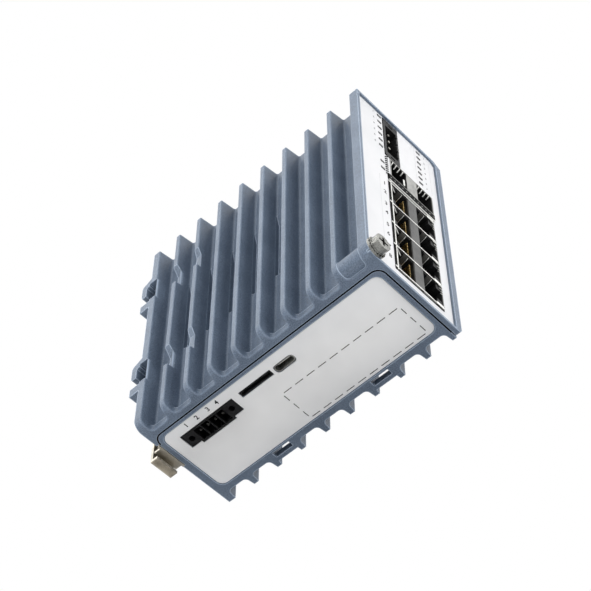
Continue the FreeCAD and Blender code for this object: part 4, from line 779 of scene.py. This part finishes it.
@dataclass(frozen=True)
class PrintedMarks:
    """Plain digits on the two labels; lengths are in millimetres."""

    thick: float = 0.02
    front_y: float = 1.05
    base_z: float = 0.3
    font_share: float = 1.4
    bold: float = 0.03
    weld: float = 0.0001

    def frame_of(self, way: Way, x: float, across: float) -> Matrix:
        """Return where a mark goes: its own x to the right, y up and z out of the label.

        Args:
            way: the label.
            x: millimetres from the left.
            across: height on the front, or depth on the underside.

        Returns:
            The mark's transform, in metres.
        """
        if way is Way.FRONT:
            axes = Matrix(((1, 0, 0), (0, 0, -1), (0, 1, 0)))
            spot = place(x, self.front_y, across)
        else:
            axes = Matrix(((0, -1, 0), (-1, 0, 0), (0, 0, -1)))
            spot = place(x, across, self.base_z)
        return Matrix.Translation(spot) @ axes.to_4x4()

    def digits(self, name: str, marks: list[tuple[str, float, float]], way: Way, high: float,
               ink: bpy.types.Material) -> None:
        """Make a piece of digits on a label.

        Args:
            name: the piece's name.
            marks: each digit with its place on the label.
            way: the label.
            high: the digits' height.
            ink: their ink.
        """
        whole = Shape()
        for text, x, across in marks:
            curve = bpy.data.curves.new("digit", "FONT")
            curve.body = text
            curve.size = high * self.font_share * MM
            curve.extrude = self.thick * MM / 2
            curve.offset = self.bold * high * MM
            curve.align_x = "CENTER"
            curve.align_y = "CENTER"
            carrier = bpy.data.objects.new("digit", curve)
            bpy.context.scene.collection.objects.link(carrier)
            graph = bpy.context.evaluated_depsgraph_get()
            data = bpy.data.meshes.new_from_object(carrier.evaluated_get(graph))
            data.transform(self.frame_of(way, x, across))
            whole.mesh.from_mesh(data)
            bpy.data.objects.remove(carrier)
            bpy.data.meshes.remove(data)
            bpy.data.curves.remove(curve)
        bmesh.ops.remove_doubles(whole.mesh, verts=whole.mesh.verts, dist=self.weld * MM)
        Maker.make(name, whole, ink, way.value)


@dataclass(frozen=True)
class Column:
    """A column of indicators that are numbered from the top."""

    x: float
    top: float
    pitch: float
    count: int

    def marks(self) -> list[tuple[str, float, float]]:
        """Return each number with its place on the front."""
        return [(str(k + 1), self.x, self.top - self.pitch * k) for k in range(self.count)]


@dataclass
class SubAssembly:
    """A group of carried-over parts with the fine parts that are added to them, in millimetres."""

    finishes: Finishes
    wear: ClassVar[dict[str, str]] = {}

    def dress(self) -> None:
        """Give each carried-over part of the group the finish that wear names."""
        for name, word in self.wear.items():
            material = getattr(self.finishes, word)
            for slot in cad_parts[name].material_slots:
                slot.material = material
            log.info("dressed %s in %s", name, material.name)

    def build(self) -> None:
        """Make the fine parts; a group without any makes none."""

    @staticmethod
    def block(name: str, material: bpy.types.Material, slot: str, low: Point, high: Point, *runs: Run,
              bevel: float = 0.0) -> None:
        """Make a piece of a block between two corners; the other arguments are Maker.make's."""
        Maker.make(name, Shape().box(low, high, bevel), material, slot, *runs)


@dataclass
class Housing(SubAssembly):
    """The two castings, their seal and their screws."""

    wear = {"left_shell": "coat", "right_shell": "coat", "seam_gasket": "seal", "shell_screws": "zinc"}
    side: float = 8.45
    front: float = 2.25
    rear: float = 112.65
    turn: float = 3.65
    reach: float = 46.3
    bead_wide: float = 0.66
    bead_low: float = -0.04
    bead_high: float = 0.4
    turn_steps: int = 9

    def build(self) -> None:
        """Lay a black bead of seal rubber in the joint under the housing, round its two left corners, as
        painted shade that darkens the gap.
        """
        path = [(self.reach, self.front)]
        for middle, start in ((self.front + self.turn, 270), (self.rear - self.turn, 180)):
            for k in range(self.turn_steps + 1):
                angle = math.radians(start - 90 * k / self.turn_steps)
                path.append((self.side + self.turn * (1 + math.cos(angle)),
                             middle + self.turn * math.sin(angle)))
        # painted shade: the black bead fills the joint at the surface, over the real seal set deeper in
        bead = Shape().ribbon(path, self.bead_wide, self.bead_low, self.bead_high)
        Maker.make("seam_shade_bead", bead, self.finishes.seal, "seal_rubber")


@dataclass
class FrontPanel(SubAssembly):
    """The front label with its indicators and printed marks."""

    wear = {"front_label": "front_sheet", "left_light_pipes": "lens", "right_light_pipes": "lens"}
    port_x: float = 13.9
    port_rise: float = 3.0
    port_high: float = 2.2
    lamp_high: float = 1.1
    right_lamps: Column = Column(x=40.4, top=109.1, pitch=3.83, count=7)
    left_lamps: Column = Column(x=10.4, top=109.3, pitch=4.56, count=6)
    rules: tuple[Point, ...] = ((34.5, 84.6, 110.6), (43.3, 84.6, 108.6), (11.3, 8.5, 63.5))
    rule_wide: float = 0.1
    tick_y: float = 0.92
    tick_run: Run = Run(9, (0, 0, 1.5))

    def build(self) -> None:
        """Print plain numbers, rules (each at an x, from a height to a height) and a column of ticks."""
        use = self.finishes
        marks = PrintedMarks()
        ports = []
        for k in range(ROWS):
            z = ROW_LOW + ROW_PITCH * (ROWS - 1 - k)
            ports += [(str(2 * k + 1), self.port_x, z + self.port_rise),
                      (str(2 * k + 2), self.port_x, z - self.port_rise)]
        marks.digits("port_digits", ports, Way.FRONT, self.port_high, use.ink)
        marks.digits("right_lamp_digits", self.right_lamps.marks(), Way.FRONT, self.lamp_high, use.pale_ink)
        marks.digits("left_lamp_digits", self.left_lamps.marks(), Way.FRONT, self.lamp_high, use.pale_ink)
        half = marks.thick / 2
        rules = Shape()
        for x, low, high in self.rules:
            rules.box((x, marks.front_y - half, low), (x + self.rule_wide, marks.front_y + half, high))
        Maker.make("front_rules", rules, use.faint_ink, "front_sheet")
        self.block("tick_strip", use.front_sheet, "front_sheet", (16.15, 1.0, 69.6), (18.1, 1.25, 82.3))
        tick = Shape().sheet([(15.3, self.tick_y, 68.0), (17.0, self.tick_y, 69.4)],
                             (0, 0, 0.8), (0, 0.08, 0))
        Maker.make("ticks", tick, use.seal, "front_sheet", self.tick_run)


@dataclass
class Underside(SubAssembly):
    """The bottom label with its printed marks."""

    wear = {"bottom_label": "base_sheet"}
    pole_x: float = 12.4
    pole_depths: tuple[float, ...] = (99.6, 94.2, 88.6, 84.1)
    pole_high: float = 2.0
    low: tuple[float, float] = (25.9, 8.5)
    high: tuple[float, float] = (40.8, 64.3)
    line: float = 0.32
    long_count: int = 10
    long_gap: float = 0.16
    cross_count: int = 3
    cross_gap: float = 0.2
    print_out: float = 0.02
    print_in: float = 0.01

    def build(self) -> None:
        """Print plain numbers by the terminal and a dashed frame; a gap is a share of a dash's step."""
        marks = PrintedMarks()
        poles = [(str(k + 1), self.pole_x, y) for k, y in enumerate(self.pole_depths)]
        marks.digits("terminal_digits", poles, Way.UNDER, self.pole_high, self.finishes.ink)
        (x, y), half = self.low, self.line / 2
        across, along = self.high[0] - x, self.high[1] - y
        under, over = marks.base_z - self.print_out, marks.base_z + self.print_in
        step = along / self.long_count
        self.block("long_dashes", self.finishes.ink, "bottom_sheet",
                   (x - half, y + step * self.long_gap, under),
                   (x + half, y + step * (1 - self.long_gap), over),
                   Run(self.long_count, (0, step, 0)), Run(2, (across, 0, 0)))
        step = across / self.cross_count
        self.block("cross_dashes", self.finishes.ink, "bottom_sheet",
                   (x + step * self.cross_gap, y - half, under),
                   (x + step * (1 - self.cross_gap), y + half, over),
                   Run(self.cross_count, (step, 0, 0)), Run(2, (0, along, 0)))


@dataclass
class PortBlock(SubAssembly):
    """The stacked block of eight network ports; low_z is the middle of the lowest row."""

    wear = {"jack_shield": "shield", "jack_fingers": "bright", "jack_housing": "black",
            "jack_contacts": "gold"}
    low_z: float = ROW_LOW
    ceiling: float = 5.85
    joint: float = 7.0
    tab_x: float = 21.3
    tab_wide: float = 2.4
    tab_thick: float = 0.22
    tab_highlight: float = 0.2
    column_step: float = 12.6
    contacts: Run = Run(8, (0, 0, 1.02))
    rows: Run = Run(ROWS, (0, 0, ROW_PITCH))
    joints: Run = Run(ROWS + 1, (0, 0, ROW_PITCH))
    holes: Run = Run(3, (8.2, 0, 0))
    bars: Run = Run(2, (7.2, 0, 0))
    spring_top: float = 6.98
    spring_high: float = 0.28
    spring_ends: tuple[tuple[float, float], ...] = ((39.6, 1.0), (40.2, 2.6), (40.7, 4.0), (40.4, 5.4))

    def build(self) -> None:
        """Add the trim of the mouths, of the shield's face and of its edges."""
        self.build_mouths()
        self.build_face()
        self.build_springs()

    def build_mouths(self) -> None:
        """Add the spring tabs in the mouths with a painted highlight along their edges, the wedges, the
        contacts and the folds of the strip.
        """
        use = self.finishes
        columns = Run(2, (self.column_step, 0, 0))
        x, top = self.tab_x, self.low_z + self.ceiling
        tab = Shape().sheet([(x, 0.9, top), (x, 1.8, top - 0.5), (x, 4.2, top - 1.3)],
                            (self.tab_wide, 0, 0), (0, 0, -self.tab_thick))
        Maker.make("mouth_springs", tab, use.dull_tin, "shield_steel", self.rows, columns)
        # painted highlight: a bright strip along the edge of each spring tab
        x += self.tab_wide - self.tab_highlight
        edge = Shape().sheet([(x, 0.86, top - 0.2), (x, 1.76, top - 0.74), (x, 4.2, top - 1.54)],
                             (self.tab_highlight, 0, 0), (0, 0, -0.08))
        Maker.make("spring_edge_highlights", edge, use.bright, "shield_steel", self.rows, columns)
        wedge = Shape().sheet([(17.7, 0.95, self.low_z + 5.9), (19.3, 1.1, self.low_z + 3.2)],
                              (0.7, 0, 0), (0, 0.25, 0))
        Maker.make("mouth_wedges", wedge, use.cage, "shield_steel", self.rows)
        self.block("mouth_contacts", use.gold, "contact_gold", (24.9, 1.7, self.low_z - 3.7),
                   (25.3, 6.5, self.low_z - 3.3), self.contacts, self.rows, bevel=0.08)
        self.block("strip_folds", use.dull_tin, "shield_steel", (26.3, 0.85, self.low_z - 5.8),
                   (26.5, 2.6, self.low_z + 5.8), self.rows, bevel=0.05)

    def build_face(self) -> None:
        """Add the rail at the block's left edge, the lips between the rows, and the foot, with black
        patches painted as the shade in its holes.
        """
        use = self.finishes
        joint = self.low_z - self.joint
        self.block("gap_seal", use.seal, "seal_rubber", (16.15, 0.73, 6.4), (17.05, 0.8, 64.6))
        self.block("edge_rail", use.bright, "shield_steel", (17.05, 0.62, 6.5), (17.6, 1.3, 64.4),
                   bevel=0.06)
        self.block("edge_bridges", use.bright, "shield_steel", (15.9, 0.55, joint - 0.35),
                   (17.4, 0.75, joint + 0.35), self.joints, bevel=0.05)
        self.block("row_lips", use.bright, "shield_steel", (16.5, 0.68, joint - 0.28),
                   (41.7, 0.82, joint + 0.28), self.joints, bevel=0.05)
        self.block("foot_plate", use.shield, "shield_steel", (18.2, 0.7, 6.1), (41.4, 0.86, 6.75),
                   bevel=0.05)
        # painted shade: black patches stand in for the dark insides of the foot plate's holes
        self.block("foot_hole_shade", use.seal, "seal_rubber", (21.0, 0.66, 6.2), (22.6, 0.72, 6.6), self.holes)
        self.block("strip_bars", use.bright, "shield_steel", (25.1, 0.6, 49.1), (26.3, 0.7, 49.6),
                   self.bars, bevel=0.04)

    def build_springs(self) -> None:
        """Add the springs at the right edge of each row; each has its left end and how far down it is."""
        spring = Shape()
        for k, (start, drop) in enumerate(self.spring_ends):
            top = self.low_z + self.spring_top - drop
            spring.box((start, 0.5 + 0.06 * k, top - self.spring_high), (41.6, 0.75, top), bevel=0.05)
        Maker.make("edge_springs", spring, self.finishes.bright, "shield_steel", self.rows)


@dataclass
class OpticCages(SubAssembly):
    """The two cages for pluggable optics and the sprung gasket under them."""

    wear = {"optic_cage": "cage", "optic_gasket": "seal", "optic_receptacles": "black"}
    bay_x: float = 18.6
    bay_step: float = 14.9
    bay_wide: float = 8.9
    low_z: float = 69.7
    high: float = 12.1
    # painted shade: where the black sheets inside the bays lie
    shade_front: float = 1.25
    shade_rear: float = 38.0
    shade_gap: float = 0.02
    shade_thick: float = 0.04
    tooth_x: float = 1.3
    teeth: Run = Run(4, (1.95, 0, 0))
    rungs: Run = Run(12, (2.2, 0, 0))

    def build(self) -> None:
        """Add black sheets in the bays as painted shade, the bays' spring teeth, the ladder of springs and
        a flag.
        """
        use = self.finishes
        bays = Run(2, (self.bay_step, 0, 0))
        left, right = self.bay_x + self.shade_gap, self.bay_x + self.bay_wide - self.shade_gap
        base, top = self.low_z + self.shade_gap, self.low_z + self.high - self.shade_gap
        front, rear, thick = self.shade_front, self.shade_rear, self.shade_thick
        # painted shade: thin black sheets inside each bay stand in for the dark of its depths
        shade_sheets = Shape()
        for z in (top - thick, base):
            shade_sheets.box((left, front, z), (right, rear, z + thick))
        for x in (left, right - thick):
            shade_sheets.box((x, front, base), (x + thick, rear, top))
        Maker.make("bay_shade_sheets", shade_sheets, use.black, "black_plastic", bays)
        x, roof = self.bay_x + self.tooth_x, self.low_z + self.high
        tooth = Shape().sheet([(x, 1.0, roof - 0.05), (x, 1.5, roof - 0.6), (x, 2.6, roof - 1.1)],
                              (0.45, 0, 0), (0, 0, -0.14))
        Maker.make("bay_teeth", tooth, use.bright, "cage_steel", self.teeth, bays)
        self.block("gasket_band", use.seal, "seal_rubber", (16.7, 0.6, 65.5), (42.4, 0.72, 69.3),
                   bevel=0.04)
        self.block("gasket_rungs", use.cage, "cage_steel", (17.3, 0.54, 67.0), (17.9, 0.6, 67.35),
                   self.rungs, bevel=0.02)
        self.block("gasket_rail", use.cage, "cage_steel", (16.6, 0.54, 69.1), (42.4, 0.66, 69.35),
                   bevel=0.04)
        self.block("gasket_border", use.bright, "shield_steel", (16.5, 0.5, 64.6), (42.5, 0.78, 65.2),
                   bevel=0.06)
        self.block("bay_flag", use.relay, "relay_case", (25.4, 0.9, 71.6), (26.4, 1.2, 75.8), bevel=0.2)


@dataclass
class Terminals(SubAssembly):
    """The power terminal in the front and the signal terminal in the bottom."""

    wear = {"power_header": "black", "power_pins": "tin", "io_header": "black", "io_pins": "dull_tin"}
    poles: Run = Run(4, (0, 3.81, 0))

    def build(self) -> None:
        """Add the key ribs of the signal terminal."""
        self.block("key_ribs", self.finishes.black, "black_plastic", (21.1, 86.0, 0.32), (21.5, 86.7, 6.5),
                   self.poles, bevel=0.08)


@dataclass
class ServicePorts(SubAssembly):
    """The service port and the card slot in the bottom."""

    wear = {"usb_shell": "cage", "usb_tongue": "relay", "card_socket": "black"}
    pads: Run = Run(12, (0, 0.5, 0))

    def build(self) -> None:
        """Add the contacts on the service port's tongue."""
        self.block("tongue_pads", self.finishes.gold, "contact_gold", (16.2, 51.3, 3.0),
                   (16.26, 51.55, 6.0), self.pads)


@dataclass
class EarthScrew(SubAssembly):
    """The earth connection beside the ports."""

    wear = {"ground_screw": "nickel", "ground_washer": "nickel", "lock_washer": "nickel"}
    centre: Point = (4.2, -0.75, 4.2)
    teeth: int = 18
    tooth_reach: float = 3.95
    tooth_side: float = 0.55
    tooth_lean: float = 0.25
    tooth_high: float = 0.7

    def build(self) -> None:
        """Add the slanted teeth of the lock washer."""
        tooth = Shape()
        for vertex in bmesh.ops.create_cube(tooth.mesh, size=1.0)["verts"]:
            x, y, z = vertex.co
            vertex.co = Vector((self.tooth_reach + self.tooth_side * x,
                                self.tooth_side * y + self.tooth_lean * z, self.tooth_high * z)) * MM
        Maker.ring("washer_teeth", tooth, self.finishes.nickel, "nickel", self.teeth, self.centre)


@dataclass
class RailFixing(SubAssembly):
    """The rail bracket, its screws, the latch and the spring."""

    wear = {"rail_bracket": "clip", "din_latch": "clip", "bracket_screws": "zinc", "latch_spring": "wire"}


@dataclass
class Boards(SubAssembly):
    """The circuit boards and what is soldered to them."""

    wear = {"lamp_board": "board", "main_board": "board", "power_board": "board", "board_screws": "zinc",
            "board_link": "black", "power_choke": "black", "processor": "chip", "memory_chips": "chip",
            "port_chips": "chip", "thermal_pad": "pad", "power_transformer": "tape",
            "bulk_capacitors": "can", "alarm_relay": "relay"}
    board_x: float = 13.4
    chip: Point = (52.0, 50.0, 22.0)
    leads: Run = Run(40, (0, 0, 0.5))
    part_rows: Run = Run(6, (0, 3.2, 0))
    part_columns: Run = Run(8, (0, 0, 2.4))

    def build(self) -> None:
        """Add the leads of the processor and rows of small parts beside it."""
        y, z, side = self.chip
        high, low, start = self.board_x - 0.7, self.board_x - 0.1, z + 1.0
        for name, edge, way in (("front_leads", y, -1), ("rear_leads", y + side, 1)):
            bends = ((high, 0.05), (high, 0.5), (low, 0.8), (low, 1.4))
            lead = Shape().sheet([(x, edge + way * out, start) for x, out in bends],
                                 (0, 0, 0.25), (0.1, 0, 0))
            Maker.make(name, lead, self.finishes.tin, "pin_tin", self.leads)
        self.block("small_parts", self.finishes.tape, "core_tape", (self.board_x - 0.8, 80.0, 40.0),
                   (self.board_x - 0.02, 81.6, 40.8), self.part_rows, self.part_columns, bevel=0.08)


@dataclass
class Studio:
    """Pale floor, soft light and the camera, in metres; only focal and sensor are in millimetres."""

    spot: Point = (-0.26745, -0.3166, -0.5300)
    ahead: Point = (0.4191, 0.3979, 0.8161)
    up: Point = (-0.5916, -0.5621, 0.5779)
    focal: float = 101.93
    sensor: float = 36
    near: float = 0.01
    far: float = 20
    aim: Point = (0, -0.06, 0)
    floor_z: float = -0.0662
    floor_half: float = 3.0
    paper: Colour = linear(238, 238, 238)
    ambient: float = 0.35

    def camera(self) -> None:
        """Stand the camera where the photograph was taken."""
        data = bpy.data.cameras.new("camera")
        data.sensor_width = self.sensor
        data.lens = self.focal
        data.clip_start = self.near
        data.clip_end = self.far
        ahead = Vector(self.ahead).normalized()
        right = ahead.cross(Vector(self.up)).normalized()
        up = right.cross(ahead)
        axes = Matrix((right, up, -ahead)).transposed()
        camera = bpy.data.objects.new("camera", data)
        camera.matrix_world = Matrix.Translation(Vector(self.spot)) @ axes.to_4x4()
        bpy.context.scene.collection.objects.link(camera)
        bpy.context.scene.camera = camera

    def lamp(self, name: str, spot: Point, wide: float, power: float) -> None:
        """Add a square soft lamp that faces the object.

        Args:
            name: the lamp's name.
            spot: its place, in metres.
            wide: its width in metres.
            power: its power in watts.
        """
        data = bpy.data.lights.new(name, "AREA")
        data.size = wide
        data.energy = power
        lamp = bpy.data.objects.new(name, data)
        turn = (Vector(self.aim) - Vector(spot)).to_track_quat("-Z", "Y")
        lamp.matrix_world = Matrix.Translation(Vector(spot)) @ turn.to_matrix().to_4x4()
        bpy.context.scene.collection.objects.link(lamp)

    def world(self) -> None:
        """Light the object with a soft surround that is white to the camera and in reflections."""
        world = bpy.data.worlds.new("surround")
        world.use_nodes = True
        bpy.context.scene.world = world
        tree = world.node_tree
        path = add_node(tree, "ShaderNodeLightPath")
        seen = path.outputs["Is Camera Ray"]
        for word in ("Is Transmission Ray", "Is Glossy Ray"):
            seen = add_node(tree, "ShaderNodeMath", {0: seen, 1: path.outputs[word]}, operation="ADD",
                            use_clamp=True).outputs[0]
        level = add_node(tree, "ShaderNodeMapRange", {"Value": seen, "To Min": self.ambient, "To Max": 1.0})
        back = tree.nodes["Background"]
        feed(tree, back.inputs["Strength"], level.outputs["Result"])
        feed(tree, back.inputs["Color"], (1, 1, 1, 1))

    def floor(self) -> None:
        """Lay a pale floor that can't be seen from below."""
        mesh = bmesh.new()
        bmesh.ops.create_grid(mesh, x_segments=1, y_segments=1, size=self.floor_half)
        data = bpy.data.meshes.new("floor")
        mesh.to_mesh(data)
        mesh.free()
        data.transform(Matrix.Translation((0, 0, self.floor_z)))
        recipe = Recipe("floor_paper")
        recipe.finish(Base_Color=self.paper, Roughness=0.9)
        clear = recipe.add("BsdfTransparent").outputs[0]
        behind = recipe.add("NewGeometry").outputs["Backfacing"]
        shadow = recipe.add("LightPath").outputs["Is Shadow Ray"]
        share = recipe.add("Math", {0: behind, 1: shadow}, operation="MAXIMUM").outputs[0]
        mix = recipe.add("MixShader", {0: share, 1: recipe.shader.outputs[0], 2: clear})
        feed(recipe.tree, recipe.tree.nodes["Material Output"].inputs["Surface"], mix.outputs[0])
        data.materials.append(recipe.material)
        floor = bpy.data.objects.new("floor", data)
        bpy.context.scene.collection.objects.link(floor)

    def make(self) -> None:
        """Build the studio."""
        self.camera()
        self.world()
        self.floor()
        self.lamp("key", (-1.0, -0.1, 0.2), wide=0.6, power=4.6)
        self.lamp("rake", (-0.75, 0.9, 0.15), wide=0.6, power=5.4)
        self.lamp("front", (-0.1, -1.0, -0.05), wide=0.6, power=6.0)
        self.lamp("under", (-0.1, 0.1, -1.0), wide=0.8, power=3.7)
        self.lamp("sheen", (-0.5, 0.42, 0.9), wide=1.0, power=3.0)
        self.lamp("crown", (0.4, -0.85, 0.65), wide=0.5, power=1.6)
        bpy.context.scene.view_settings.view_transform = "Standard"


def main() -> None:
    """Dress the switch and build the studio around it."""
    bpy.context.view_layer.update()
    finishes = Finishes()
    groups = (Housing, FrontPanel, Underside, PortBlock, OpticCages, Terminals, ServicePorts, EarthScrew,
              RailFixing, Boards)
    dressed = set()
    for group in groups:
        part = group(finishes)
        part.dress()
        part.build()
        dressed |= set(part.wear)
    left = set(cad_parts) - dressed
    if left:
        raise ValueError("no finish for " + ", ".join(sorted(left)))
    Studio().make()


if __name__ == "__main__":
    main()
